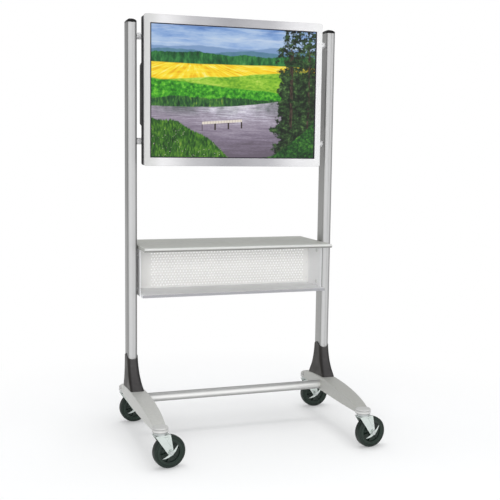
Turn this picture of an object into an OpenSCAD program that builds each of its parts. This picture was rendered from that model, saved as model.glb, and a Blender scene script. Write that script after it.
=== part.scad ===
// Mobile display cart: two upright posts on arched feet with swivel casters,
// a flat display hung on two rails, and a shelf with an open compartment under it.
// Millimetres, +Z up, front towards -Y, the floor is z = 0.
// The origin lies on the floor at the middle of the whole outline.

/* [Posts] */
// distance between the centre lines of the two posts
post_spacing = 870; // [800:1:940]
// width of a post seen from the front
post_w = 40; // [36:1:44]
// depth of a post seen from the side
post_d = 64; // [58:1:70]
// radius of the long edges of a post
post_edge_r = 8; // [5:1:10]
// wall of the post extrusion
post_wall = 3; // [2.5:0.5:3.5]
// thickness of the two cross webs inside a post
post_web = 2.5; // [2:0.5:3]
// distance of the screw ports in the post from its middle
port_offset = 18; // [17:1:19]
// outer radius of a screw port
port_r = 6; // [5:0.5:6.5]
// width of the shallow groove down the front of a post
groove_w = 6; // [4:1:8]
// depth of that groove
groove_depth = 1.5; // [1:0.5:2]
// distance of the top ends of the posts under the top of the display
post_drop = 30; // [10:1:60]
// height of the domed cap over the post
cap_h = 17; // [14:1:20]
// straight rim at the bottom of the cap
cap_rim = 3; // [2:0.5:4]
// depth of the plug that holds the cap in the post
cap_plug = 14; // [10:1:18]

/* [Feet] */
// how far the foot lies inside the centre line of its post
foot_inset = 8; // [6:1:9]
// turn of each foot towards the middle of the cart at its front, in degrees
foot_toe = 0.8; // [0:0.1:1.2]
// distance of the front caster stem in front of the posts
front_reach = 468; // [430:1:500]
// distance of the rear caster stem behind the posts
rear_reach = 142; // [130:1:155]
// height of the arch over the underside
foot_rise = 57; // [54:1:62]
// distance of the highest point of the arch in front of the posts
arch_top_y = 110; // [90:1:130]
// how far the curve of the arch runs on past the front caster stem
arch_front_past = 12; // [10:1:22]
// how far the curve of the arch runs on past the rear caster stem
arch_rear_past = 40; // [36:1:48]
// greatest half width of the foot seen from above
foot_half_w = 34; // [33:0.5:37]
// half width of the foot at the caster stems
foot_end_half_w = 24; // [22:0.5:25]
// radius of the round pad over each caster
pad_r = 31; // [29:0.5:33]
// thickness of that pad
pad_h = 12; // [10:1:15]
// depth of the flat pocket in the foot in which the post stands, below the arch top
post_sink = 14; // [12:1:18]

/* [Boots] */
// height of the side lobes of the boot over the floor
boot_top_z = 345; // [325:1:365]
// wall of the boot beside the post at its top
boot_wall = 3; // [2.5:0.5:4]
// reach of the boot base in front of the post centre
boot_front = 116; // [106:1:124]
// reach of the boot base behind the post centre
boot_back = 64; // [56:1:70]
// reach of the boot base towards the middle of the cart
boot_in = 36; // [33:1:36]
// reach of the boot base outwards
boot_out = 22.5; // [22:0.5:24]
// corner radius of the boot base
boot_base_r = 13; // [11:1:18]
// radius of the arched rim at the top of the boot
boot_arch_r = 38; // [37:1:44]

/* [Tubes] */
// outer radius of the tube between the feet
crossbar_r = 19; // [17:0.5:19.5]
// wall of that tube
crossbar_wall = 2.5; // [2:0.5:3]
// distance of the tube in front of the posts
crossbar_y = 78; // [70:1:90]
// thickness of the foot left under that tube
crossbar_floor = 3; // [2.5:0.5:5]
// how deep the tube stands in each foot
crossbar_socket = 10; // [8:1:12]
// outer radius of a display rail
rail_r = 13.5; // [12:0.5:14]
// wall of a display rail
rail_wall = 2; // [1.5:0.5:2.5]
// distance of the upper rail under the top of the display
upper_rail_drop = 81; // [70:1:94]
// distance of the lower rail over the lower edge of the display
lower_rail_rise = 99; // [88:1:113]
// how deep a rail stands in a post
rail_socket = 12; // [10:1:12]

/* [Display] */
// mean distance of the left and right of the display from the posts
display_side_gap = 30.5; // [28:0.5:40]
// height of the display
display_h = 603; // [590:1:620]
// height of its lower edge over the floor
display_z = 1127; // [1080:1:1180]
// sideways position of its middle
display_x = -13; // [-16:1:0]
// distance of its front face in front of the post centres
display_front = 85; // [84:1:90]
// depth of the front frame
bezel_depth = 12; // [11:1:15]
// width of the frame at the sides of the screen
bezel_side = 25; // [20:1:30]
// width of the frame over and under the screen
bezel_end = 34; // [28:1:40]
// radius of the frame corners
bezel_corner_r = 9; // [6:1:12]
// thickness of the frame lip in front of the screen
bezel_lip = 4; // [3:0.5:5]
// how far the screen reaches under the lip
screen_lap = 3; // [2:0.5:4]
// thickness of the screen panel
screen_t = 6; // [5:0.5:7]
// distance of the back of the flat rear shell in front of the post centres
shell_back = 19; // [18.6:0.1:20]
// inset of the rear shell behind the frame
shell_inset = 2; // [1:0.5:4]
// slope of the rear shell edge towards its back
shell_slope = 2; // [1:0.5:3]
// wall of the rear shell and of the raised housing
shell_wall = 3; // [3:0.5:4]
// margin of the rear shell round its window into the housing
window_margin = 20; // [14:1:30]
// outer radius of the screw bosses in the rear shell
boss_r = 6; // [5:0.5:8]
// thickness of the panel unit behind the screen
module_t = 14; // [10:1:20]
// width of the circuit board
board_w = 300; // [200:10:400]
// height of the circuit board
board_h = 160; // [120:10:190]
// thickness of the circuit board
board_sheet_t = 2; // [1.5:0.5:3]
// length of the spacers under the circuit board
standoff_l = 30; // [20:1:36]
// radius of those spacers
standoff_r = 4; // [3:0.5:5]
// depth of the raised housing over the shell
housing_depth = 49; // [40:1:56]
// lower edge of the raised housing over the lower edge of the display
housing_low = 159; // [150:1:170]
// distance of the top of the raised housing under the top of the display
housing_drop = 183; // [170:1:200]
// inset of the raised housing at the left and right of the shell
housing_inset = 2.5; // [2:0.5:32]
// slope of its left and right ends
housing_side_slope = 2; // [1:0.5:8]
// slope of its top and bottom
housing_end_slope = 12; // [6:1:20]
// number of vent slots in each row
vent_count = 22; // [12:1:24]
// width of a vent slot
vent_w = 5; // [4:0.5:6]
// length of a vent slot
vent_h = 46; // [36:1:50]

/* [Hooks] */
// sideways distance of the hooks from the middle of the display
hook_x = 200; // [150:1:260]
// width of a hook
hook_w = 40; // [30:1:50]
// thickness of the hook steel
hook_t = 4; // [3.5:0.5:4]
// how far the hook plate hangs below the rail centre
hook_drop = 52; // [50:1:60]
// how far the rear leg of the hook hangs below the rail centre
hook_leg = 25; // [23:1:28]
// shank radius of the hook screws
hook_screw_r = 2.5; // [2:0.5:3]
// length of a hook screw in the display
hook_screw_l = 12; // [8:1:16]

/* [Shelf] */
// gap between each end of the top shelf and its post
shelf_side_gap = 5.5; // [3:0.5:15]
// distance of the shelf front edge in front of the posts
shelf_front = 150; // [130:1:170]
// distance of the shelf back edge behind the posts
shelf_back = 213; // [195:1:225]
// height of the shelf surface over the floor
shelf_z = 797; // [780:1:815]
// thickness of the shelf board
board_t = 14; // [12:1:18]
// depth of the rounded trim along the front edge
trim_depth = 8; // [7:0.5:10]
// how much the trim is taller than the board
trim_extra = 1; // [0.5:0.5:2]
// corner radius of the board at its back
board_corner_r = 6; // [4:1:12]
// thickness of the sheet steel of the compartment
sheet_t = 2; // [1.5:0.5:2.5]
// distance of the side panels from the posts, which the spacers fill
spacer_l = 8; // [6:0.5:15]
// distance of the side panel front edge in front of the posts
panel_front = 47; // [40:1:60]
// distance of the perforated panel behind the posts
panel_back = 100; // [90:1:120]
// distance of the lower shelf surface under that of the top shelf
shelf_drop = 199; // [175:1:220]
// distance of the lower shelf front edge in front of the posts
lower_shelf_front = 93; // [80:1:110]
// height of the folded lip of the lower shelf
lip_h = 11; // [9:1:14]
// width of the folded flanges of the side panels
flange_w = 18; // [16:1:22]
// radius of a hole in the perforated panel
hole_r = 3; // [2:0.25:4]
// distance between holes in a row
hole_pitch = 13.5; // [12:0.5:18]
// distance between two rows of holes
row_pitch = 11.5; // [10:0.5:16]
// plain margin left of the holes
hole_margin_left = 72; // [30:1:100]
// plain margin right of the holes
hole_margin_right = 20; // [18:1:100]
// plain margin over and under the holes
hole_margin_z = 11; // [8:1:20]

/* [Fasteners] */
// shank radius of the bolts that hold the shelf to the posts
shelf_bolt_r = 4; // [3:0.5:4]
// outer radius of the spacers between panels and posts
spacer_r = 9; // [8:0.5:11]
// distance of those bolts from the top and bottom of the side panel
shelf_bolt_margin = 28; // [24:1:36]
// shank radius of the wood screws under the board
board_screw_r = 2; // [1.5:0.25:2.5]
// length of those screws in the board
board_screw_l = 9; // [7:1:11]
// shank radius of the rivets
rivet_r = 2; // [1.5:0.25:2.5]
// radius of a rivet head
rivet_head_r = 3.6; // [3:0.2:4.4]
// height of a rivet head
rivet_head_h = 1.4; // [1:0.2:2]
// shank radius of the bolts between foot and post
post_bolt_r = 4; // [3.5:0.5:4]
// length of those bolts in the post
post_bolt_l = 40; // [30:1:60]
// shank radius of the screws that hold the rails in the posts
rail_screw_r = 2.5; // [2:0.5:3]

/* [Casters] */
// radius of a wheel
wheel_r = 63.5; // [60:0.5:64]
// width of a wheel tyre
wheel_w = 32; // [28:1:34]
// radius of the tyre shoulders
shoulder_r = 5; // [3:0.5:7]
// radius at which the tyre sits on the wheel core
core_r = 46; // [42:1:50]
// thickness of the wheel core web
web_t = 14; // [10:1:20]
// radial thickness of the core rim
core_rim_t = 6; // [4:1:8]
// radius of the wheel hub
hub_r = 13; // [11:1:15]
// play between the wheel hub and each leg of the fork
hub_side_gap = 0.5; // [0.1:0.1:1]
// distance of the axle behind the swivel stem
trail = 35; // [30:1:38]
// room between the tyre and each leg of the fork
tyre_side_gap = 2.5; // [2.5:0.5:4]
// thickness of the fork steel
fork_t = 3; // [2.5:0.5:3]
// room between the tyre and the fork crown
tyre_top_gap = 2.6; // [2.4:0.1:3]
// reach of the fork crown in front of the stem
crown_front = 25; // [22:1:27]
// reach of the fork crown behind the stem
crown_back = 35; // [34:1:40]
// radius of the fork end round the axle
fork_end_r = 12; // [10:1:14]
// height of the swivel bearing between the fork crown and the foot
race_h = 10.4; // [8.4:0.2:11.4]
// radius of the swivel bearing
race_r = 23.5; // [21:0.5:25]
// shank radius of the caster stem
stem_r = 6; // [5:0.5:7]
// length of the stem in the foot
stem_l = 28; // [20:1:32]
// radius of the axle bolt
axle_r = 5; // [4:0.5:5.5]
// height of the axle bolt head and of its nut
axle_head_h = 6; // [4:0.5:7]
// radius over the corners of the axle bolt head and nut
axle_head_r = 9; // [8:0.5:10]
// turn of the front left caster
turn_front_left = 8; // [0:1:20]
// turn of the front right caster
turn_front_right = 8; // [0:1:20]
// turn of the rear left caster
turn_rear_left = 4; // [0:1:20]
// turn of the rear right caster
turn_rear_right = 0; // [0:1:20]

/* [Brake levers] */
// length of a brake lever from tip to tip
lever_l = 80; // [70:1:86]
// rise of the outer curve of the lever
lever_outer = 16; // [14:1:20]
// rise of the inner curve of the lever
lever_inner = 6; // [4:1:8]
// thickness of the lever
lever_t = 3; // [2:0.5:4]
// radius of the lever boss round the axle
lever_boss_r = 10.5; // [9:0.5:12]
// angle of the lever in its released position
lever_angle = 38; // [30:1:45]

/* [Hidden] */
// named clearances
fit = 0.1;
gap = 0.3;
over = 1;
round_fn = 96;
hull_fn = 32;

arc_fn = 960;

post_x = post_spacing / 2;
foot_x = post_x - foot_inset;
crown_z = 2 * wheel_r + tyre_top_gap;
foot_bottom_z = crown_z + fork_t + race_h;
crossbar_z = foot_bottom_z + crossbar_floor + crossbar_r;
arch_front = front_reach + arch_front_past - arch_top_y;
arch_rear = rear_reach + arch_rear_past + arch_top_y;

// place of a caster stem that lies y behind the post, in the turned foot
function stem_x(y) = foot_x + y * sin(foot_toe);
function stem_y(y) = y * cos(foot_toe);
arch_z = foot_bottom_z + foot_rise;
post_z = arch_z - post_sink;
rim_w = post_w / 2 - post_wall;

wheel_z = wheel_r;
fork_gap = wheel_w + 2 * tyre_side_gap;
fork_half = fork_gap / 2;
hub_half = fork_half - hub_side_gap;
crown_top = crown_z + fork_t;
race_split = (foot_bottom_z - crown_top) / 2;

// how far the tyre of a caster with this turn reaches to the right of its stem
function tyre_reach(turn) = (trail + wheel_r - shoulder_r) * cos(turn)
    + (wheel_w / 2 - shoulder_r) * sin(turn) + shoulder_r;

// the outline ends at the right tyres, the left rear pad, the front pads and the shelf
outline_right = max(stem_x(-front_reach) + tyre_reach(turn_front_right),
    stem_x(rear_reach) + tyre_reach(turn_rear_right));
outline_left = -stem_x(rear_reach) - pad_r;
mid_x = (outline_right + outline_left) / 2;
mid_y = (shelf_back + stem_y(-front_reach) - pad_r) / 2;

display_w = post_spacing - post_w - 2 * display_side_gap;
display_top_z = display_z + display_h;
display_mid_z = display_z + display_h / 2;
post_top_z = display_top_z - post_drop;
upper_rail_z = display_top_z - upper_rail_drop;
lower_rail_z = display_z + lower_rail_rise;
screen_w = display_w - 2 * bezel_side;
screen_h = display_h - 2 * bezel_end;
shell_w = display_w - 2 * shell_inset;
shell_h = display_h - 2 * shell_inset;
shell_front = display_front - bezel_depth;
shell_depth = shell_front - shell_back;
// distances in front of the post centres: faces of the panel unit
module_front = display_front - bezel_lip - screen_t;
module_back = module_front - module_t;
module_w = screen_w + 2 * screen_lap;
module_h = screen_h + 2 * screen_lap;
housing_w = shell_w - 2 * housing_inset;
housing_h = display_h - housing_low - housing_drop;
housing_mid_z = display_z + housing_low + housing_h / 2;
window_w = housing_w - 2 * window_margin;

shelf_w = post_spacing - post_w - 2 * shelf_side_gap;
board_z = shelf_z - board_t;
lower_shelf_z = shelf_z - shelf_drop;
compartment_half = post_x - post_w / 2 - spacer_l;
inner_half = compartment_half - sheet_t;
lower_sheet_z = lower_shelf_z - sheet_t;
panel_h = board_z - lower_shelf_z - sheet_t;
panel_low_z = lower_shelf_z - lip_h;
field_w = 2 * inner_half - hole_margin_left - hole_margin_right;
field_x = (hole_margin_left - hole_margin_right) / 2;
field_h = panel_h - 2 * hole_margin_z;
hole_cols = floor(field_w / hole_pitch / 2) * 2;
hole_rows = round(field_h / row_pitch);
shelf_bolt_zs = [panel_low_z + shelf_bolt_margin, board_z - shelf_bolt_margin];
shelf_bolt_head_h = shelf_bolt_r;
shelf_bolt_head_r = 2 * shelf_bolt_r;
board_screw_head_r = 2 * board_screw_r;
post_bolt_head_r = 2 * post_bolt_r;
post_bolt_head_h = post_bolt_r * 2;
rail_screw_x = post_x - post_w / 2 + rail_socket / 2;
hook_screw_zs = [-hook_drop + 2 * hook_t, -hook_drop + 6 * hook_t];
hook_lock_z = -rail_r - 2 * hook_screw_r;

// board screws and rivets share these places along the depth
along_shares = [0.12, 0.5, 0.88];
panel_depth = panel_front + panel_back;
along_ys = [for (s = along_shares) -panel_front + s * panel_depth];
// heights of the rivets in the rear flanges
rear_rivet_shares = [0.12, 0.5, 0.88];
rear_rivet_zs = [for (s = rear_rivet_shares) lower_shelf_z + s * panel_h];

// flare of the boot from its rim to its base: height share, flare share
boot_flare_shares = [[0, 1], [0.11, 0.88], [0.31, 0.5], [0.52, 0.24], [1, 0]];
boot_base_z = arch_z - foot_rise / 3;
boot_height = boot_top_z - boot_base_z;

silver = [0.78, 0.78, 0.78];
light = [0.86, 0.86, 0.85];
shade = [0.64, 0.65, 0.62];
char = [0.22, 0.22, 0.21];
black = [0.1, 0.1, 0.1];
chrome = [0.84, 0.87, 0.86];
rubber = [0.1, 0.14, 0.13];

// placing

module seated() {
    translate([-mid_x, -mid_y, 0])
        children();
}

// shows its children once on each side of the cart
module both_sides() {
    children();
    mirror([1, 0, 0])
        children();
}

module round_rect(w, d, r) {
    square([w - 2 * r, d], center = true);
    square([w, d - 2 * r], center = true);
    for (sx = [-1, 1])
        for (sy = [-1, 1])
            translate([sx * (w / 2 - r), sy * (d / 2 - r)])
                circle(r = r, $fn = round_fn);
}

// a flat outline drawn across and up, standing from y to y + t
module upright(y, t) {
    translate([0, y + t, 0])
        rotate([90, 0, 0])
            linear_extrude(height = t)
                children();
}

// a flat outline drawn along the depth and up, standing from x to x + t
module sideways(x, t) {
    translate([x, 0, 0])
        rotate([90, 0, 90])
            linear_extrude(height = t)
                children();
}

module rod_y(y, r, h) {
    translate([0, y, 0])
        rotate([-90, 0, 0])
            cylinder(r = r, h = h, $fn = round_fn);
}

module rod_x(x, r, h) {
    translate([x, 0, 0])
        rotate([0, 90, 0])
            cylinder(r = r, h = h, $fn = round_fn);
}

// posts

module post_section() {
    difference() {
        union() {
            difference() {
                round_rect(post_w, post_d, post_edge_r);
                round_rect(post_w - 2 * post_wall, post_d - 2 * post_wall, post_edge_r - post_wall);
            }
            for (s = [-1, 1])
                translate([0, s * port_offset]) {
                    square([post_w - post_wall, post_web], center = true);
                    circle(r = port_r, $fn = round_fn);
                }
        }
        for (s = [-1, 1])
            translate([0, s * port_offset])
                circle(r = post_bolt_r + fit, $fn = round_fn);
        translate([0, -post_d / 2])
            square([groove_w, 2 * groove_depth], center = true);
    }
}

// right hand post; its inner side faces the middle of the cart
module post() {
    difference() {
        translate([post_x, 0, post_z])
            linear_extrude(height = post_top_z - post_z)
                post_section();
        for (z = [upper_rail_z, lower_rail_z])
            translate([post_x - post_w / 2, 0, z]) {
                rod_x(-over, rail_r + gap, rail_socket + over);
                translate([rail_socket / 2, 0, 0])
                    rod_y(0, rail_screw_r + fit, post_d / 2 + over);
            }
        for (z = shelf_bolt_zs)
            translate([post_x - post_w / 2, 0, z])
                rod_x(-over, shelf_bolt_r + fit, post_wall + 2 * over);
    }
}

module cap() {
    w = post_w - 2 * post_wall - 2 * gap;
    d = 2 * (port_offset - port_r - gap);
    dome = cap_h - cap_rim;
    arc_x = (pow(post_w / 2, 2) + pow(dome, 2)) / (2 * dome);
    arc_y = (pow(post_d / 2, 2) + pow(dome, 2)) / (2 * dome);
    translate([post_x, 0, post_top_z]) {
        intersection() {
            linear_extrude(height = cap_h + over)
                round_rect(post_w, post_d, post_edge_r);
            translate([0, 0, cap_h - arc_x])
                rod_y(-post_d, arc_x, 2 * post_d);
            translate([0, 0, cap_h - arc_y])
                rod_x(-post_w, arc_y, 2 * post_w);
        }
        translate([0, 0, -cap_plug])
            linear_extrude(height = cap_plug + cap_rim)
                square([w, d], center = true);
    }
}

module left_post() {
    color(silver)
        seated()
            mirror([1, 0, 0])
                post();
}

module right_post() {
    color(silver)
        seated()
            post();
}

module left_post_cap() {
    color(black)
        seated()
            mirror([1, 0, 0])
                cap();
}

module right_post_cap() {
    color(black)
        seated()
            cap();
}

// feet

// side outline of the arch, drawn with the depth along x and the height along y
module arch_half(reach, side) {
    intersection() {
        scale([reach / foot_rise, 1])
            circle(r = foot_rise, $fn = round_fn);
        translate([side < 0 ? -reach : 0, 0])
            square([reach, foot_rise]);
    }
}

module arch_outline() {
    translate([-arch_top_y, foot_bottom_z]) {
        arch_half(arch_front, -1);
        arch_half(arch_rear, 1);
    }
}

// outline from above: two wide arcs between the caster stems
module foot_plan() {
    half_l = (front_reach + rear_reach) / 2;
    drop = foot_half_w - foot_end_half_w;
    arc_r = (pow(half_l, 2) + pow(drop, 2)) / (2 * drop);
    translate([0, (rear_reach - front_reach) / 2])
        intersection() {
            translate([arc_r - foot_half_w, 0])
                circle(r = arc_r, $fn = arc_fn);
            translate([foot_half_w - arc_r, 0])
                circle(r = arc_r, $fn = arc_fn);
            square([2 * foot_half_w, 2 * half_l], center = true);
        }
}

module foot() {
    difference() {
        union() {
            intersection() {
                translate([foot_x, 0, foot_bottom_z])
                    rotate([0, 0, -foot_toe])
                        linear_extrude(height = foot_rise + over) {
                            foot_plan();
                            translate([0, rear_reach])
                                circle(r = foot_end_half_w, $fn = round_fn);
                        }
                sideways(foot_x - 2 * pad_r, 4 * pad_r)
                    arch_outline();
            }
            for (y = [-front_reach, rear_reach])
                translate([stem_x(y), stem_y(y), foot_bottom_z])
                    cylinder(r = pad_r, h = pad_h, $fn = round_fn);
        }
        // pocket for the post and holes for its bolts
        translate([post_x, 0, post_z])
            linear_extrude(height = foot_rise)
                round_rect(post_w + 2 * gap, post_d + 2 * gap, post_edge_r + gap);
        for (s = [-1, 1])
            translate([post_x, s * port_offset, foot_bottom_z - over]) {
                cylinder(r = post_bolt_r + fit, h = foot_rise, $fn = round_fn);
                cylinder(r = post_bolt_head_r + gap, h = post_bolt_head_h + 2 * over, $fn = round_fn);
            }
        for (y = [-front_reach, rear_reach])
            translate([stem_x(y), stem_y(y), foot_bottom_z - over])
                cylinder(r = stem_r + fit, h = stem_l + over, $fn = round_fn);
        translate([0, -crossbar_y, crossbar_z])
            rod_x(0, crossbar_r + gap, foot_x - foot_half_w + crossbar_socket);
    }
}

module left_foot() {
    color(silver)
        seated()
            mirror([1, 0, 0])
                foot();
}

module right_foot() {
    color(silver)
        seated()
            foot();
}

module post_bolts() {
    bolt_l = post_z - foot_bottom_z + post_bolt_l;
    color(chrome)
        seated()
            both_sides()
                for (s = [-1, 1])
                    translate([post_x, s * port_offset, foot_bottom_z + over]) {
                        cylinder(r = post_bolt_head_r, h = post_bolt_head_h, $fn = round_fn);
                        cylinder(r = post_bolt_r, h = bolt_l, $fn = round_fn);
                    }
}

// boots

// one level of the boot: s is the height share, f the flare share
module boot_level(s, f) {
    top_x = post_w / 2 + boot_wall;
    top_y = post_d / 2 + boot_wall;
    x_in = top_x + f * (boot_in - top_x);
    x_out = top_x + f * (boot_out - top_x);
    y_front = top_y + f * (boot_front - top_y);
    y_back = top_y + f * (boot_back - top_y);
    top_r = post_edge_r + boot_wall;
    r = top_r + f * (boot_base_r - top_r);
    translate([post_x + (x_out - x_in) / 2, (y_back - y_front) / 2, boot_base_z + s * boot_height])
        linear_extrude(height = gap)
            for (sx = [-1, 1])
                for (sy = [-1, 1])
                    translate([sx * ((x_in + x_out) / 2 - r), sy * ((y_front + y_back) / 2 - r)])
                        circle(r = r, $fn = hull_fn);
}

module boot() {
    difference() {
        intersection() {
            for (i = [0 : len(boot_flare_shares) - 2])
                hull() {
                    boot_level(boot_flare_shares[i][0], boot_flare_shares[i][1]);
                    boot_level(boot_flare_shares[i + 1][0], boot_flare_shares[i + 1][1]);
                }
            union() {
                translate([post_x, 0, boot_top_z - boot_arch_r])
                    rod_x(-post_w, boot_arch_r, 2 * post_w);
                translate([post_x - post_w, -2 * boot_front, 0])
                    cube([2 * post_w, 4 * boot_front, boot_top_z - boot_arch_r]);
            }
        }
        translate([post_x, 0, 0])
            linear_extrude(height = boot_top_z + over)
                round_rect(post_w + 2 * gap, post_d + 2 * gap, post_edge_r + gap);
        sideways(post_x - 2 * post_w, 4 * post_w)
            arch_outline();
    }
}

module left_boot() {
    color(char)
        seated()
            mirror([1, 0, 0])
                boot();
}

module right_boot() {
    color(char)
        seated()
            boot();
}

// tubes

module tube_x(half_l, r, wall) {
    difference() {
        rod_x(-half_l, r, 2 * half_l);
        rod_x(-half_l - over, r - wall, 2 * half_l + 2 * over);
    }
}

module crossbar() {
    color(silver)
        seated()
            translate([0, -crossbar_y, crossbar_z])
                tube_x(foot_x - foot_half_w + crossbar_socket - gap, crossbar_r, crossbar_wall);
}

module rail(z) {
    half_l = post_x - post_w / 2 + rail_socket - gap;
    translate([0, 0, z])
        difference() {
            tube_x(half_l, rail_r, rail_wall);
            for (s = [-1, 1])
                translate([s * rail_screw_x, 0, 0])
                    rod_y(0, rail_screw_r + fit, rail_r + over);
        }
}

module upper_rail() {
    color(light)
        seated()
            rail(upper_rail_z);
}

module lower_rail() {
    color(light)
        seated()
            rail(lower_rail_z);
}

module rail_screws() {
    color(chrome)
        seated()
            both_sides()
                for (z = [upper_rail_z, lower_rail_z])
                    translate([rail_screw_x, 0, z]) {
                        rod_y(rail_r - rail_wall, rail_screw_r, post_d / 2 - rail_r + rail_wall + over);
                        rod_y(post_d / 2, 2 * rail_screw_r, rail_screw_r);
                    }
}

// display

module at_display() {
    translate([display_x, 0, display_mid_z])
        children();
}

module display_frame() {
    color(light)
        seated()
            at_display()
                difference() {
                    upright(-display_front, bezel_depth)
                        round_rect(display_w, display_h, bezel_corner_r);
                    upright(-display_front - over, bezel_depth + 2 * over)
                        square([screen_w, screen_h], center = true);
                    upright(-display_front + bezel_lip, bezel_depth)
                        square([module_w + gap, module_h + gap], center = true);
                }
}

module display_screen() {
    color(black)
        seated()
            at_display()
                upright(-display_front + bezel_lip, screen_t)
                    square([module_w, module_h], center = true);
}

// outer form of the rear shell, its long edges sloped at the back
module shell_form() {
    upright(-shell_front, shell_depth - shell_slope)
        round_rect(shell_w, shell_h, bezel_corner_r);
    hull() {
        upright(-shell_back - shell_slope - gap, gap)
            round_rect(shell_w, shell_h, bezel_corner_r);
        upright(-shell_back - gap, gap)
            round_rect(shell_w - 2 * shell_slope, shell_h - 2 * shell_slope, bezel_corner_r);
    }
}

// shows its children at each of the screws that hold the hooks
module at_hook_screws() {
    for (x = [-hook_x, hook_x])
        for (z = [upper_rail_z, lower_rail_z])
            for (dz = hook_screw_zs)
                translate([display_x + x, 0, z + dz])
                    children();
}

module display_shell() {
    color(black)
        seated()
            difference() {
                union() {
                    at_display()
                        difference() {
                            shell_form();
                            upright(-shell_front - over, shell_depth - shell_wall + over)
                                round_rect(shell_w - 2 * shell_wall, shell_h - 2 * shell_wall,
                                    bezel_corner_r - shell_wall);
                        }
                    at_hook_screws()
                        rod_y(-module_back, boss_r, module_back - shell_back);
                }
                translate([display_x, 0, housing_mid_z])
                    upright(-shell_back - shell_wall - over, shell_wall + 2 * over)
                        square([window_w, housing_h - 2 * window_margin], center = true);
                at_hook_screws()
                    rod_y(-shell_back - hook_screw_l - over, hook_screw_r + fit, hook_screw_l + 2 * over);
            }
}

// form of the raised housing, its walls moved inwards by inset
module housing_form(inset) {
    top_w = housing_w - 2 * housing_side_slope - 2 * inset;
    top_h = housing_h - 2 * housing_end_slope - 2 * inset;
    hull() {
        upright(-shell_back, gap)
            square([housing_w - 2 * inset, housing_h - 2 * inset], center = true);
        upright(-shell_back + housing_depth - inset - gap, gap)
            square([top_w, top_h], center = true);
    }
}

module display_housing() {
    vent_pitch = window_w / (vent_count + 1);
    row_z = (housing_h / 2 - housing_end_slope) / 2;
    color(char)
        seated()
            translate([display_x, 0, housing_mid_z])
                difference() {
                    housing_form(0);
                    translate([0, -gap, 0])
                        housing_form(shell_wall);
                    for (row = [-1, 1])
                        for (i = [1 : vent_count])
                            translate([-window_w / 2 + i * vent_pitch - vent_w / 2,
                                housing_depth - shell_back - shell_wall - over, row * row_z - vent_h / 2])
                                cube([vent_w, shell_wall + 2 * over, vent_h]);
                }
}

module display_module() {
    color(shade)
        seated()
            at_display()
                upright(-module_front, module_t)
                    square([module_w, module_h], center = true);
}

// shows its children at each corner screw of the circuit board
module at_board_corners() {
    for (sx = [-1, 1])
        for (sz = [-1, 1])
            translate([display_x + sx * (board_w / 2 - 2 * standoff_r), 0,
                housing_mid_z + sz * (board_h / 2 - 2 * standoff_r)])
                children();
}

module circuit_board() {
    color([0.1, 0.3, 0.16])
        seated()
            translate([display_x, 0, housing_mid_z])
                upright(-module_back + standoff_l, board_sheet_t)
                    square([board_w, board_h], center = true);
}

module board_spacers() {
    color(chrome)
        seated()
            at_board_corners()
                rod_y(-module_back, standoff_r, standoff_l);
}

// hooks

// outline of a hook: a plate on the display and a crook over the rail
module hook_outline() {
    difference() {
        union() {
            translate([-shell_back, -hook_drop])
                square([hook_t, hook_drop]);
            difference() {
                circle(r = rail_r + gap + hook_t, $fn = round_fn);
                translate([-shell_back - over, -2 * shell_back])
                    square([4 * shell_back, 2 * shell_back]);
            }
            translate([rail_r + gap, -hook_leg])
                square([hook_t, hook_leg]);
        }
        circle(r = rail_r + gap, $fn = round_fn);
    }
}

module hook(x, z) {
    translate([display_x + x, 0, z])
        difference() {
            sideways(-hook_w / 2, hook_w)
                hook_outline();
            for (dz = hook_screw_zs)
                translate([0, 0, dz])
                    rod_y(-shell_back - over, hook_screw_r + fit, hook_t + 2 * over);
            translate([0, 0, hook_lock_z])
                rod_y(-shell_back + hook_t, hook_screw_r + fit, 2 * shell_back + hook_t);
        }
}

module upper_left_hook() {
    color(shade)
        seated()
            hook(-hook_x, upper_rail_z);
}

module upper_right_hook() {
    color(shade)
        seated()
            hook(hook_x, upper_rail_z);
}

module lower_left_hook() {
    color(shade)
        seated()
            hook(-hook_x, lower_rail_z);
}

module lower_right_hook() {
    color(shade)
        seated()
            hook(hook_x, lower_rail_z);
}

// eight screws in the display, and one under the lower rail at each lower hook
module hook_screws() {
    back = rail_r + gap + hook_t;
    color(chrome)
        seated() {
            at_hook_screws() {
                rod_y(-shell_back - hook_screw_l, hook_screw_r, hook_screw_l + hook_t + over);
                rod_y(-shell_back + hook_t, 2 * hook_screw_r, hook_screw_r);
            }
            for (x = [-hook_x, hook_x])
                translate([display_x + x, 0, lower_rail_z + hook_lock_z]) {
                    rod_y(-shell_back + hook_t, hook_screw_r, back + shell_back - hook_t + over);
                    rod_y(back, 2 * hook_screw_r, hook_screw_r);
                }
        }
}

// shelf

module shelf_board() {
    l = shelf_front - trim_depth + shelf_back;
    hole_l = board_screw_l + 2 * over;
    color(shade)
        seated()
            difference() {
                translate([0, shelf_back - l / 2, board_z])
                    linear_extrude(height = board_t) {
                        round_rect(shelf_w, l, board_corner_r);
                        translate([0, -l / 4])
                            square([shelf_w, l / 2], center = true);
                    }
                both_sides()
                    for (y = along_ys)
                        translate([inner_half - flange_w / 2, y, board_z - over])
                            cylinder(r = board_screw_r + fit, h = hole_l, $fn = round_fn);
            }
}

module shelf_front_trim() {
    trim_h = board_t + 2 * trim_extra;
    r = min(trim_depth, trim_h / 2) - gap;
    color(light)
        seated()
            translate([0, -shelf_front, board_z + board_t / 2])
                sideways(-shelf_w / 2, shelf_w)
                    intersection() {
                        translate([trim_depth, 0])
                            round_rect(2 * trim_depth, trim_h, r);
                        translate([0, -trim_h / 2])
                            square([trim_depth, trim_h]);
                    }
}

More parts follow.
